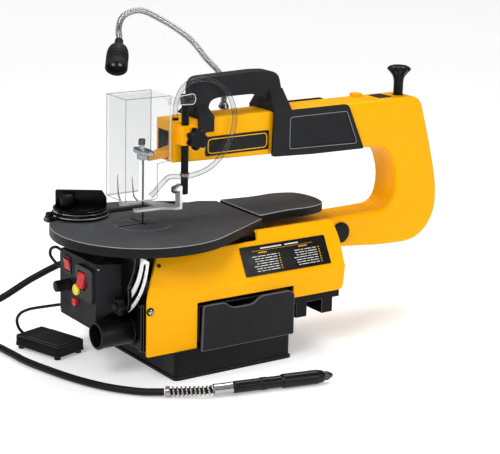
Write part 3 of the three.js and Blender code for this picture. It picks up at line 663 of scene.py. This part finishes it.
# ------------------------------------------------------------------ foot pedal
def pedal():
    """A rimmed base on four feet, with the plate in its well."""
    turn = Matrix.Translation(Vector((-75, -99, 0)) * MM) @ Matrix.Rotation(math.radians(17), 4, "Z")
    base = prism(rectangle((-41, -25), (41, 25), 4, 6), 4, 8.4, "z", 1.2, 0.3)
    rim = prism(rectangle((-40.6, -24.6), (40.6, 24.6), 4, 6), 8.2, 19, "z", 0.2, 1.2)
    foot_profile = [(0, 0.05), (4, 0.05), (4.5, 0.6), (4.5, 4.5), (0, 4.5)]
    for x in (-34, 34):
        for y in (-19, 19):
            turned(foot_profile, (x, y, 0), Z, 24, base)
    well = prism(rectangle((-20.2, -22.6), (38.7, 22.6), 1, 3), 7, 30, "z")
    plate = prism(rectangle((-19.4, -21.9), (37.9, 21.9), 1.5, 4), 16.6, 20.6, "z", 0.4, 0.7)
    for shape in (base, rim, well, plate):
        shape.transform(turn)
    body = piece_for("pedal_base", rim)
    subtract(body, well)
    foot = add_piece("pedal_foot", base, "frame", "black_plastic")
    plate = piece_for("pedal_plate", plate)
    # painted highlights on the upward rounded edges of the pedal's base and plate
    paint_edge_highlight(body, SLOT["pedal_base"])
    paint_edge_highlight(plate, SLOT["pedal_plate"])
    return [body, foot, plate]


# ------------------------------------------------------------------ arm housing
C_FRONT = 190
C_OUTLINE = [
    (C_FRONT, 112.5, 11), (300, 112.5, 30), (396, 103, 30), (453, 103, 30), (484, 137, 34), (486, 182, 30),
    (468, 250, 30), (446, 318, 16), (C_FRONT, 318, 11), (C_FRONT, 257, 11), (330, 252, 14), (392, 250, 26),
    (410, 200, 22), (400, 158, 22), (340, 157, 20), (C_FRONT, 156, 11),
]
ROOM_OUTLINE = [(u + 6, v, 8) if u == C_FRONT else (u, v, radius) for u, v, radius in C_OUTLINE]


def half_housing(name, side):
    """A C-shaped half with a slimmer front; the rooms inside it hold the arms."""
    half = piece_for(name, prism(outline(C_OUTLINE, 14), 0.15, 27, "x", 0.4, 7, steps=6))
    front = outline([(50, 262, 6), (204, 258.3, 6), (204, 318, 6), (50, 318, 6)], 5)
    slim = bpy.data.objects.new("slim", to_mesh(prism(front, 0.15, 23, "x", 0.4, 3.5), "slim"))
    bpy.context.scene.collection.objects.link(slim)
    union = half.modifiers.new("union", "BOOLEAN")
    union.operation = "UNION"
    union.solver = "EXACT"
    union.object = slim
    bpy.context.view_layer.update()
    half.data = bpy.data.meshes.new_from_object(half.evaluated_get(bpy.context.evaluated_depsgraph_get()))
    half.modifiers.clear()
    bpy.data.objects.remove(slim)
    room = prism(inset(counter_clockwise(outline(ROOM_OUTLINE, 5)), 4.5), -1, 21, "x")
    slim_room = block((-1, 19), (40, 200), (266, 313.5))
    knob_hole = prism(circle(0, 424, 8.5), 300, 330, "z")
    opening = block((-1, 21), (180, 215), (118, 151))
    subtract(half, room, slim_room, knob_hole, opening)
    if side < 0:
        half.data.transform(Matrix.Diagonal((-1, 1, 1, 1)))
        half.data.flip_normals()
    return half


def arm_nose():
    """The nose, with black enamel on the walls inside its mouth as painted shade."""
    nose = refine("arm_nose", 0.8)
    nose.data.materials.append(MATERIAL["dark_metal"])
    # painted shade: faces inside the mouth take the black enamel
    for face in nose.data.polygons:
        if abs(face.center.x) < 0.0205 and 0.266 < face.center.z < 0.309 and abs(face.normal.y) < 0.5:
            face.material_index = 1


def carry_handle():
    """The handle, with a painted highlight line round its recess."""
    refine("carry_handle", 2.4, 28, 4)
    recess = outline([(213, 266, 3), (327, 263, 3), (308, 308, 3), (213, 308, 3)], 5)
    rim = ridge(inset(counter_clockwise(recess), -0.9), 31, 0.25, 0.5)
    body = BODY["carry_handle"]
    add_piece("recess_highlight_line", rim, body, "grey_plastic", materials=[HIGHLIGHT_LINE])


def tension_knob():
    """A stem that flares into a lobed top."""
    profile = [
        (0, 301), (7, 301), (7, 336), (7.6, 341), (9, 345), (13, 350), (16.6, 353.5), (17, 355),
        (16.6, 357), (13, 359.5), (8.4, 360.2), (8, 359.4), (0, 359.2),
    ]
    knob = turned(profile, (0, 424, 0), Z, 80, lobes=(8, 2.2, 8.5))
    piece_for("tension_knob", knob, sharp=50)


def rod_knob():
    centre = (0, 45, 301)
    profile = [
        (0, 49), (8, 49), (9, 50), (9.5, 53), (14.6, 54.5), (15, 56), (15, 62), (14, 64.4), (11, 65),
        (6.5, 64.8), (6, 64), (0, 64),
    ]
    star = turned(profile, centre, X, 96, lobes=(7, 3.2, 10))
    turned([(0, 41.6), (3, 41.6), (3, 49.5), (0, 49.5)], centre, X, 24, star)
    piece_for("rod_knob", star, sharp=50)


def arm():
    half_housing("c_arm_right", 1)
    half_housing("c_arm_left", -1)
    arm_nose()
    carry_handle()
    cap_profile = [(0, 0.1), (14.6, 0.1), (15, 0.5), (15, 2.4), (14, 3.6), (12, 4), (4, 3.6), (0, 3.5)]
    piece_for("pivot_cap", turned(cap_profile, (27.3, 307, 134), X, 64))
    pad = prism(rectangle((-15, 380), (13, 404), 4), 317.8, 318.5, "z", 0, 0.3)
    add_piece("arm_pad", pad, "frame", "grey_plastic")
    lug = prism(rectangle((-22, 352), (-8, 366), 2, 4), 317.6, 323, "z", 0, 1.2)
    add_piece("arm_lug", lug, "frame", "cast_yellow")
    tension_knob()
    rod_knob()


def ridge(points, x, height, half_width):
    """A raised line on a face that looks along X, round an outline of (Y, Z) points."""
    shape = bmesh.new()
    route = [Vector((x, p.x, p.y)) for p in points]
    count = len(route)
    rings = []
    for i, here in enumerate(route):
        across = (route[(i + 1) % count] - route[i - 1]).normalized().cross(X)
        profile = ((-half_width, 0), (half_width, 0), (half_width, height), (-half_width, height))
        rings.append([shape.verts.new((here + across * s + X * h) * MM) for s, h in profile])
    for i in range(count):
        a, b = rings[i - 1], rings[i]
        for k in range(4):
            shape.faces.new((a[k], a[(k + 1) % 4], b[(k + 1) % 4], b[k]))
    return shape


def nameplate():
    """A plain plate with an empty outline where the lettering would be."""
    plate = prism(rectangle((81, 267), (182, 293), 2), 23.3, 24.2, "x", 0, 0.3)
    piece_for("name_plate", plate)
    line = ridge(rectangle((84.5, 270.4), (178.5, 289.6), 6, 8), 24.15, 0.3, 0.55)
    add_piece("name_outline", line, "frame", "yellow", materials=[PRINT_YELLOW])


LEAN_LOW, LEAN_HIGH = Vector((110, 0, 114)), Vector((78, 0, 172))
LEAN = (LEAN_HIGH - LEAN_LOW).normalized()
LEAN_NORMAL = Vector((LEAN.z, 0, -LEAN.x))


def label():
    """A black plate with generic rows of dashes, on the leaning face of the right cover."""
    place = Matrix((Y, LEAN, LEAN_NORMAL)).transposed().to_4x4()
    place.translation = (LEAN_LOW + LEAN_NORMAL * 0.3) * MM
    plate = prism(rectangle((94, 7), (232, 47), 2), 0, 0.9, "z", 0, 0.3)
    plate.transform(place)
    piece_for("label_plate", plate)
    rows = bmesh.new()
    marks = bmesh.new()

    def dash(shape, y, v, long, tall):
        prism(rectangle((y, v), (y + long, v + tall)), 0.85, 1.0, "z", shape=shape)

    dash(rows, 126, 41.6, 34, 1.5)
    dash(rows, 165, 41.6, 22, 1.5)
    dash(marks, 112, 39.4, 98, 0.3)
    row_width, row_pitch, gap = 48, 3.3, 1.6
    words = ((9, 5, 13, 7), (6, 12, 4, 9), (14, 4, 8, 5), (5, 9, 11, 4))
    for column, start in enumerate((101, 166)):
        dash(marks, start + 20, 36.2, 14, 1.2)
        for k in range(7):
            v = 31.6 - row_pitch * k
            offset = 0
            for long in words[(k + column) % 4]:
                if offset + long < row_width:
                    dash(rows, start + row_width - offset - long, v, long, 0.85)
                offset += long + gap
            dash(marks, start + row_width + 3, v, 1.8, 1.2)
    for shape, name, look in ((rows, "label_rows", PRINT), (marks, "label_marks", PRINT_YELLOW)):
        shape.transform(place)
        add_piece(name, shape, "frame", "white_scale", materials=[look])


# ------------------------------------------------------------------ table
TABLE_TOP = 181
TABLE_RADIUS = 122
GROOVE = (-80.5, -67.5)


def table_outline(margin):
    """A round front whose sides run tangent to it towards the rear corners."""
    radius = TABLE_RADIUS - margin
    corner = Vector((56 - 1.3 * margin, 152 - margin))
    tangent = math.atan2(corner.y, corner.x) - math.acos(radius / corner.length)
    start, end = tangent, -math.pi - tangent
    arc = [start + (end - start) * k / 120 for k in range(121)]
    points = [Vector((radius * math.cos(a), radius * math.sin(a))) for a in arc]
    return points + [Vector((-corner.x, corner.y)), corner]


def table():
    above = 190
    plate = prism(table_outline(0), 168, TABLE_TOP, "z", 1, 1.2)
    plate = piece_for("table_plate", plate)
    hollow = prism(table_outline(4), 160, 175, "z")
    seat = prism(circle(0, 0, 38, 96), 178, above, "z")
    hole = prism(circle(0, 0, 32, 64), 160, above, "z")
    subtract(plate, hollow, seat, hole, block(GROOVE, (-130, 160), (178.8, above)))
    disc = prism(circle(0, 0, 37.6, 96), 178.3, TABLE_TOP, "z", 0.3, 0.4)
    disc = piece_for("table_insert", disc)
    slots = block((-31, 8), (-1.6, 1.6), (170, above)), block((-1.6, 1.6), (-45, 4), (170, above))
    subtract(disc, *slots)
    leaf_corners = [
        (-50, 153, 3), (50, 153, 3), (43, 205, 20), (47, 238, 14), (36, 272, 16), (0, 281, 30),
        (-36, 272, 16), (-47, 238, 14), (-43, 205, 20),
    ]
    leaf_line = counter_clockwise(outline(leaf_corners, 12))
    leaf = piece_for("table_leaf", prism(leaf_line, 172, 184, "z", 1, 1.6))
    room_corners = [(u, v, max(10, radius)) for u, v, radius in leaf_corners]
    room_line = counter_clockwise(outline(room_corners, 5))
    subtract(leaf, prism(inset(room_line, 4), 165, 178, "z"))
    refine("front_trunnion", 0.6)
    centre = (66, 0, 97)
    profile = [
        (0, 66), (8, 66), (9, 67), (12.4, 68.5), (13, 70), (13, 75), (12, 77), (6, 77.4), (5, 80.9),
        (0, 80.9),
    ]
    knob = turned(profile, centre, -Y, 72, lobes=(6, 3, 9.5))
    turned([(0, 56.6), (3, 56.6), (3, 66.5), (0, 66.5)], centre, -Y, 24, knob)
    piece_for("tilt_lock_knob", knob, sharp=50)


def mitre_guide():
    """A disc with a fence and a knob, on a bar in the table's groove."""
    x, y = -74, -53
    centre = (x, y, 183.5)
    piece_for("guide_bar", block((x - 6, x + 6), (-104, 62), (179.1, 183.2), 0.5))
    stop = block((x - 3, x + 9), (-104, -95), (181.3, 187.5), 0.8)
    nut_profile = [(0, 0), (5, 0), (5.4, 0.6), (5.4, 4.4), (4.8, 5), (0, 5)]
    turned(nut_profile, (x + 3, -99.5, 187.2), Z, 48, stop, lobes=(12, 0.5, 4))
    add_piece("guide_stop", stop, "guide_bar", "dark_metal")
    screw("guide_stop_screw", (x + 3, -104.2, 184.4), -Y, 1.8, "guide_bar")
    head_profile = [
        (0, 0), (37.2, 0), (38, 0.8), (38, 3.2), (37.2, 4), (35.4, 4.2), (35, 4.8), (35.6, 5.4), (36, 6),
        (36, 10), (34.8, 11), (30, 11), (29.4, 10.4), (22, 10.4), (21.4, 11), (0, 11),
    ]
    head = turned(head_profile, centre, Z, 96)
    fence_line = outline([(-34, 0), (34, 0), (34, 16, 2), (28, 26, 3), (-34, 26, 2)], 4)
    fence = prism(fence_line, -3, 3, "x", 0.6, 0.6)
    turn = Matrix.Rotation(math.radians(-32), 4, "Z")
    fence.transform(Matrix.Translation(Vector((x - 6, y + 5, 188.5)) * MM) @ turn)
    piece_for("guide_head", head)
    add_piece("guide_fence", fence, "guide_head", "dark_metal")
    for name, profile in (
        ("guide_band", [(37.6, 0.9), (38.1, 1.2), (38.1, 2.6), (37.6, 2.9)]),
        ("guide_ring", [(35.6, 6.2), (36.1, 6.4), (36.1, 7), (35.6, 7.2)]),
    ):
        hoop = turned(profile, centre, Z, 96)
        add_piece(name, hoop, "guide_head", "steel", materials=[PLATED])
    grip_profile = [(0, 196.9), (8.4, 196.9), (9, 197.6), (9, 208), (8.2, 210.8), (6, 211.8), (0, 211.8)]
    grip = turned(grip_profile, (x - 2, y - 18, 0), Z, 96, lobes=(16, 0.8, 7))
    piece_for("guide_knob", grip, sharp=50)


# ------------------------------------------------------------------ hold-down, guard, hose and lamp
def hold_down():
    rod = turned([(0, 222), (4.4, 222), (5, 222.6), (5, 340.5), (0, 340.5)], (30, 45, 0), Z, 40)
    piece_for("hold_down_rod", rod)
    head_line = outline([(40, 339.8, 2), (50, 339.8, 2), (50, 354, 3), (40, 354, 3)], 5)
    head = prism(head_line, 25, 35, "x", 0.5, 0.5)
    add_piece("rod_head", head, "hold_down_rod", "dark_metal")
    pivot = turned([(0, 0), (2.9, 0), (2.9, 6.4), (0, 6.4)], (34.4, 46, 349), X, 24)
    add_piece("guard_pivot", pivot, "hold_down_rod", "steel")
    screw("guard_screw", (40.4, 46, 349), X, 3.6, "hold_down_rod", BLACK_STEEL)
    refine("hold_down_foot", 0.6, materials=[PLATED])
    screw("foot_screw", (28, 31.6, 229), -Y, 5.2, "hold_down_foot")
    clip = turned([(5.1, 0), (6.3, 0.3), (6.3, 4.7), (5.1, 5)], (30, 45, 245.6), Z, 36)
    add_piece("hose_clip", clip, "hold_down_rod", "steel")


def guard():
    """A clear box, open below and behind, with moulded edges, a strap and two stiffening ribs."""
    shell = refine("blade_guard", 1.0, 40, 3)
    notch_rise = 3  # room for the hose with the hold-down at its lowest
    for vertex in shell.data.vertices:
        if 0.260 < vertex.co.z < 0.266:
            vertex.co.z += notch_rise * MM
    front, back, low, high, left, right = -39.6, 7.6, 218.6, 352.6, -25.6, 23.6
    rear, notch = 26.6, 264 + notch_rise
    thin = [
        [(right, front, low), (right, front, high)], [(left, front, low), (left, front, high)],
        [(right, front, high), (right, rear, high)], [(left, front, high), (left, rear, high)],
        [(left, front, high), (right, front, high)], [(right, back, low), (right, back, notch - 2)],
        [(right, back, notch - 2), (right, rear, notch)], [(left, rear, notch), (left, rear, high)],
    ]
    thick = [
        [(right, front, low), (right, back, low)], [(left, front, low), (right, front, low)],
        [(left, front, low), (left, back, low)], [(right, rear, notch), (right, rear, high)],
    ]
    dark, pale = bmesh.new(), bmesh.new()
    for line in thin:
        tube([Vector(p) for p in line], 0.42, 8, dark)
    for line in thick:
        tube([Vector(p) for p in line], 0.8, 10, pale)
    strap_line = outline([(14, 344, 2), (52, 342, 4), (55, 349, 4), (52, 356, 4), (14, 353, 2)], 5)
    strap = [Vector((40, p.x, p.y)) for p in strap_line]
    tube(strap + strap[:1], 0.6, 8, pale)
    for route in (
        [(3, front, 252), (4, front - 0.2, 238), (6, front - 0.2, 226), (10, front, 219.5)],
        [(right, -30, 252), (right + 0.2, -29, 238), (right + 0.2, -27, 226), (right, -22, 219.5)],
    ):
        tube(smooth_route(route, 24), lambda k: 0.5 + 0.03 * k, 8, dark)
    add_piece("guard_edges", dark, "blade_guard", "clear", materials=[EDGE], sharp=60)
    add_piece("guard_rims", pale, "blade_guard", "clear", materials=[EDGE_PALE], sharp=60)


GOOSENECK = [
    (-23, 139, 326.9), (-24, 140, 345), (-30, 139, 362), (-38.4, 119.7, 385.2), (-46.3, 99.4, 411),
    (-58.7, 61.9, 438), (-70.6, 33.4, 450.5), (-82, 15.9, 441.5), (-83.4, 10.8, 427), (-75.9, 7.2, 413.5),
]
LAMP_START, LAMP_AIM = Vector((-74.6, 6.3, 412.2)), Vector((0.64, -0.448, -0.624)).normalized()


def hose_and_lamp():
    fitting_profile = [(0, 0), (5, 0), (5, 2.4), (4.2, 3), (4.2, 5), (3.7, 5.4), (0, 5.4)]
    fitting = turned(fitting_profile, (9, 43, 314.2), Z, 24)
    add_piece("hose_fitting", fitting, "frame", "black_plastic")
    neck_route = smooth_route(GOOSENECK, 460)
    rings_per_rib = 4
    neck = tube(neck_route, lambda k: 4.05 + 0.42 * math.cos(2 * math.pi * k / rings_per_rib), 20)
    piece_for("gooseneck", neck, sharp=80)
    base_profile = [
        (0, 318.4), (6.8, 318.4), (7.2, 318.8), (7.2, 322.6), (6.8, 323.2), (6, 323.4), (5.8, 325.6),
        (5.2, 326.1), (0, 326.1),
    ]
    piece_for("lamp_base", turned(base_profile, (-23, 139, 0), Z))
    profile = [
        (0, 0), (5.3, 0), (5.6, 0.6), (5.8, 9), (7, 10.2), (9.4, 12), (12, 15.5), (13.6, 19.5), (14.4, 24),
        (14.7, 27.5), (14.2, 28), (14.2, 29), (14.7, 29.5),
    ]
    for k in range(6):
        along = 31 + k * 1.7
        profile += [(14.75, along), (14.2, along + 0.3), (14.2, along + 0.8), (14.75, along + 1.1)]
    profile += [
        (14.8, 43), (14.8, 49.4), (14.2, 50), (12.6, 50), (12.3, 49.5), (12.2, 42.2), (11.4, 42), (0, 42),
    ]
    head = turned(profile, LAMP_START, LAMP_AIM, 72)
    piece_for("lamp_head", head, sharp=40)
    side = LAMP_AIM.cross(Z).normalized()
    lens_profile = [(0, 42.1), (3, 42.1), (3, 42.9), (2.6, 43.6), (1.6, 44.4), (0, 44.7)]
    lenses = bmesh.new()
    for offset in (4.6, -4.6):
        turned(lens_profile, LAMP_START + side * offset, LAMP_AIM, 28, lenses)
    add_piece("lamp_leds", lenses, "frame", "grey_plastic", materials=[LED])


# ------------------------------------------------------------------ controls
PANEL = -93


def bezels():
    """The black surrounds of the light switch and of the rocker with its key."""
    through = (-110, -80)
    light = prism(rectangle((-44.5, 118.5), (-23.5, 141.5), 2), -94.2, -92.9, "y")
    light = add_piece("light_bezel", light, "frame", "black_plastic")
    subtract(light, block((-41.6, -26.4), through, (121.4, 138.6)))
    paddle = prism(rectangle((-4.6, 95.4), (39.6, 139.6), 6, 8), -97.6, -96.9, "y", 0.2, 0)
    paddle = add_piece("paddle_bezel", paddle, "frame", "black_gloss")
    key_hole = prism(circle(-1, 105, 8.4), *through, "y")
    subtract(paddle, block((2.9, 23.1), through, (108.9, 133.1)), key_hole)


def dust_port():
    """A hollow stub: its last ring joins its first one along the bore."""
    profile = [
        (15, 0), (17.6, 0), (18.3, 0.7), (18.3, 4.6), (17.5, 5.6), (17.5, 47), (19, 48), (19, 51), (15, 51),
    ]
    rings = turned_rings(profile, (58, -102.2, 60), Y, 72)
    port = loft(bmesh.new(), rings + rings[:1], close_ends=False)
    piece_for("dust_port", port)


def controls():
    refine("control_box", 1.1)
    refine("light_switch", 0.5)
    refine("power_paddle", 0.7)
    bezels()
    key_place = (-1, PANEL, 105)
    key_profile = [(0, 0.1), (6.9, 0.1), (7.4, 0.6), (7.4, 6.4), (6.6, 7.4), (5.6, 7.9), (0, 7.9)]
    key = turned(key_profile, key_place, -Y)
    turned([(0, -8.9), (3, -8.9), (3, 0.6), (0, 0.6)], key_place, -Y, 24, key)
    piece_for("safety_key", key)
    button_profile = [(0, -3.9), (5.4, -3.9), (5.4, 3.2), (4.9, 3.8), (3, 4), (0, 4)]
    button = turned(button_profile, (-11, PANEL, 85), -Y, 40)
    piece_for("reset_button", button)
    dial_place = (-29, PANEL, 104)
    dial_profile = [
        (0, 0.4), (8.2, 0.4), (8.2, 2.4), (7.6, 3), (7.6, 19), (7, 20.6), (5.6, 21.2), (0, 21.2),
    ]
    dial = turned(dial_profile, dial_place, -Y, 96, lobes=(18, 0.7, 7.3))
    turned([(0, -7.9), (3, -7.9), (3, 0.6), (0, 0.6)], dial_place, -Y, 24, dial)
    piece_for("speed_dial", dial, sharp=50)
    dust_port()
    for k, (x, z) in enumerate(((-51, 144), (49, 144), (-51, 64), (33, 64))):
        screw(f"panel_screw_{k}", (x, PANEL - 0.1, z), -Y, 1.9, "frame")


def scale():
    """The tilt scale, with tick marks on an arc round the tilt axis."""
    refine("tilt_scale", 0.15)
    ticks = bmesh.new()
    for k in range(11):
        angle = -math.radians(10 + 4.4 * k)
        ray = Vector((math.cos(angle), 0, math.sin(angle)))
        across = Vector((-ray.z, 0, ray.x)) * 0.22
        long = 2.4 if k % 2 else 3.6
        a = Vector((0, 0, TABLE_TOP)) + ray * 111.2
        b = a + ray * long
        corners = [a - across, b - across, b + across, a + across]
        loft(ticks, [[(c - Y * 58.95) * MM for c in corners], [(c - Y * 59.1) * MM for c in corners]])
    add_piece("scale_ticks", ticks, "frame", "black_plastic")


COVER_EDGES = {
    "right_cover": (1.6, 25, 4), "left_cover": (1.6, 25, 4), "front_plate": (0.6,), "base_tray": (1.4,),
    "main_frame": (0.7,), "storage_bin": (0.8,), "storage_door": (1.4, 30, 4), "upper_arm": (1.0,),
    "lower_arm": (0.8,),
}


def covers():
    for node, edge in COVER_EDGES.items():
        refine(node, *edge)
    high_place = Vector((90.2, -29, 150)) - LEAN_NORMAL * 0.2
    screw("cover_screw_high", high_place, LEAN_NORMAL, 2.6, "frame", BLACK_STEEL)
    washer = turned([(0, 0), (5.4, 0), (5.4, 0.7), (4.8, 0.9), (0, 0.9)], (109.8, -53, 98.5), X, 36)
    add_piece("cover_washer", washer, "frame", "dark_metal")
    screw("cover_screw_front", (110.6, -53, 98.5), X, 3.8, "frame")
    for k, z in enumerate((50, 74)):
        screw(f"front_screw_{k}", (98, -50.7, z), -Y, 2.2, "frame", BLACK_STEEL)


def blade_clamps():
    refine("upper_clamp", 0.7)
    wing_corners = [
        (-17, -6, 4), (-7, -9, 6), (7, -9, 6), (24, -3, 5), (24, 3, 5), (7, 8, 6), (-7, 8, 6), (-17, 4, 4),
    ]
    wings = prism(outline(wing_corners, 6), 275, 281, "z", 1.2, 1.2)
    cap_profile = [(0, 0), (4.3, 0), (4.6, 0.4), (4.6, 6.8), (4.1, 7.4), (2.4, 7.4), (2.2, 5), (0, 5)]
    cap = turned(cap_profile, (0, -2, 287), Z, 40)
    body = BODY["upper_clamp"]
    add_piece("clamp_cap", cap, body, "steel", materials=[BLACK_STEEL])
    add_piece("clamp_wings", wings, body, "steel")
    refine("lower_clamp", 0.5)


def blade():
    """A thin strip whose front edge is a row of teeth."""
    root, tip, back = -1.0, -1.4, 1.3
    low, high = 127, 272.8
    pitch, count = 1.8, 74
    points = [(back, low)]
    for k in range(count):
        z = low + 1 + k * pitch
        points += [(root, z), (tip, z + pitch * 0.72)]
    points += [(tip, high), (back, high)]
    strip = prism([Vector(p) for p in points], -0.25, 0.25, "x")
    piece_for("blade", strip)


cords()
arm()
nameplate()
label()
table()
mitre_guide()
hold_down()
guard()
hose_and_lamp()
controls()
scale()
covers()
blade_clamps()
blade()


# ------------------------------------------------------------------ floor and light
def stage():
    mesh = bpy.data.meshes.new("floor")
    mesh.from_pydata([(-6, -6, 0), (6, -6, 0), (6, 6, 0), (-6, 6, 0)], [], [(0, 1, 2, 3)])
    floor = bpy.data.objects.new("floor", mesh)
    bpy.context.scene.collection.objects.link(floor)
    floor.location.z = -0.0004
    white = Shader("floor_white", "#f3f3f3", 0.6)
    white.tint(white.spread(white.noise(3, 2), 0, 0.3), "#efefef")
    white.set("Emission Color", (1, 1, 1, 1))
    distance = white.add("ShaderNodeVectorMath", operation="LENGTH")
    white.link(white.coordinates, distance.inputs[0])
    white.link(
        white.spread(distance.outputs["Value"], 0.34, 0.58, 0.9, 3.2),
        white.bsdf.inputs["Emission Strength"],
    )
    mesh.materials.append(white.material)

    def light(name, place, target, size, power):
        data = bpy.data.lights.new(name, "AREA")
        data.shape = "RECTANGLE"
        data.size, data.size_y = size
        data.energy = power
        lamp = bpy.data.objects.new(name, data)
        bpy.context.scene.collection.objects.link(lamp)
        lamp.location = place
        lamp.rotation_euler = (Vector(target) - Vector(place)).to_track_quat("-Z", "Y").to_euler()

    light("key", (0.9, -1.5, 1.7), (0, 0.1, 0.15), (0.9, 0.9), 27)
    light("side", (2.1, 0.9, 0.9), (0, 0.15, 0.2), (0.8, 1.2), 12)
    light("top", (-0.4, 0.7, 2.0), (0, 0.1, 0.1), (1.1, 1.1), 22)
    world = bpy.data.worlds.new("world")
    bpy.context.scene.world = world
    world.use_nodes = True
    tree = world.node_tree
    background = tree.nodes["Background"]
    background.inputs["Strength"].default_value = 0.42
    direction = tree.nodes.new("ShaderNodeTexCoord").outputs["Generated"]
    parts = tree.nodes.new("ShaderNodeSeparateXYZ")
    ramp = tree.nodes.new("ShaderNodeValToRGB")
    tree.links.new(direction, parts.inputs[0])
    tree.links.new(parts.outputs["Z"], ramp.inputs["Fac"])
    tree.links.new(ramp.outputs["Color"], background.inputs["Color"])
    low, high = ramp.color_ramp.elements
    low.position, low.color = 0.04, (1, 1, 1, 1)
    high.position, high.color = 0.75, (1, 1, 1, 1)
    for place, grey in ((0.1, 0.12), (0.34, 0.2), (0.5, 1.2)):
        stop = ramp.color_ramp.elements.new(place)
        stop.color = (grey, grey, grey, 1)
    bpy.context.scene.view_settings.view_transform = "Standard"


stage()
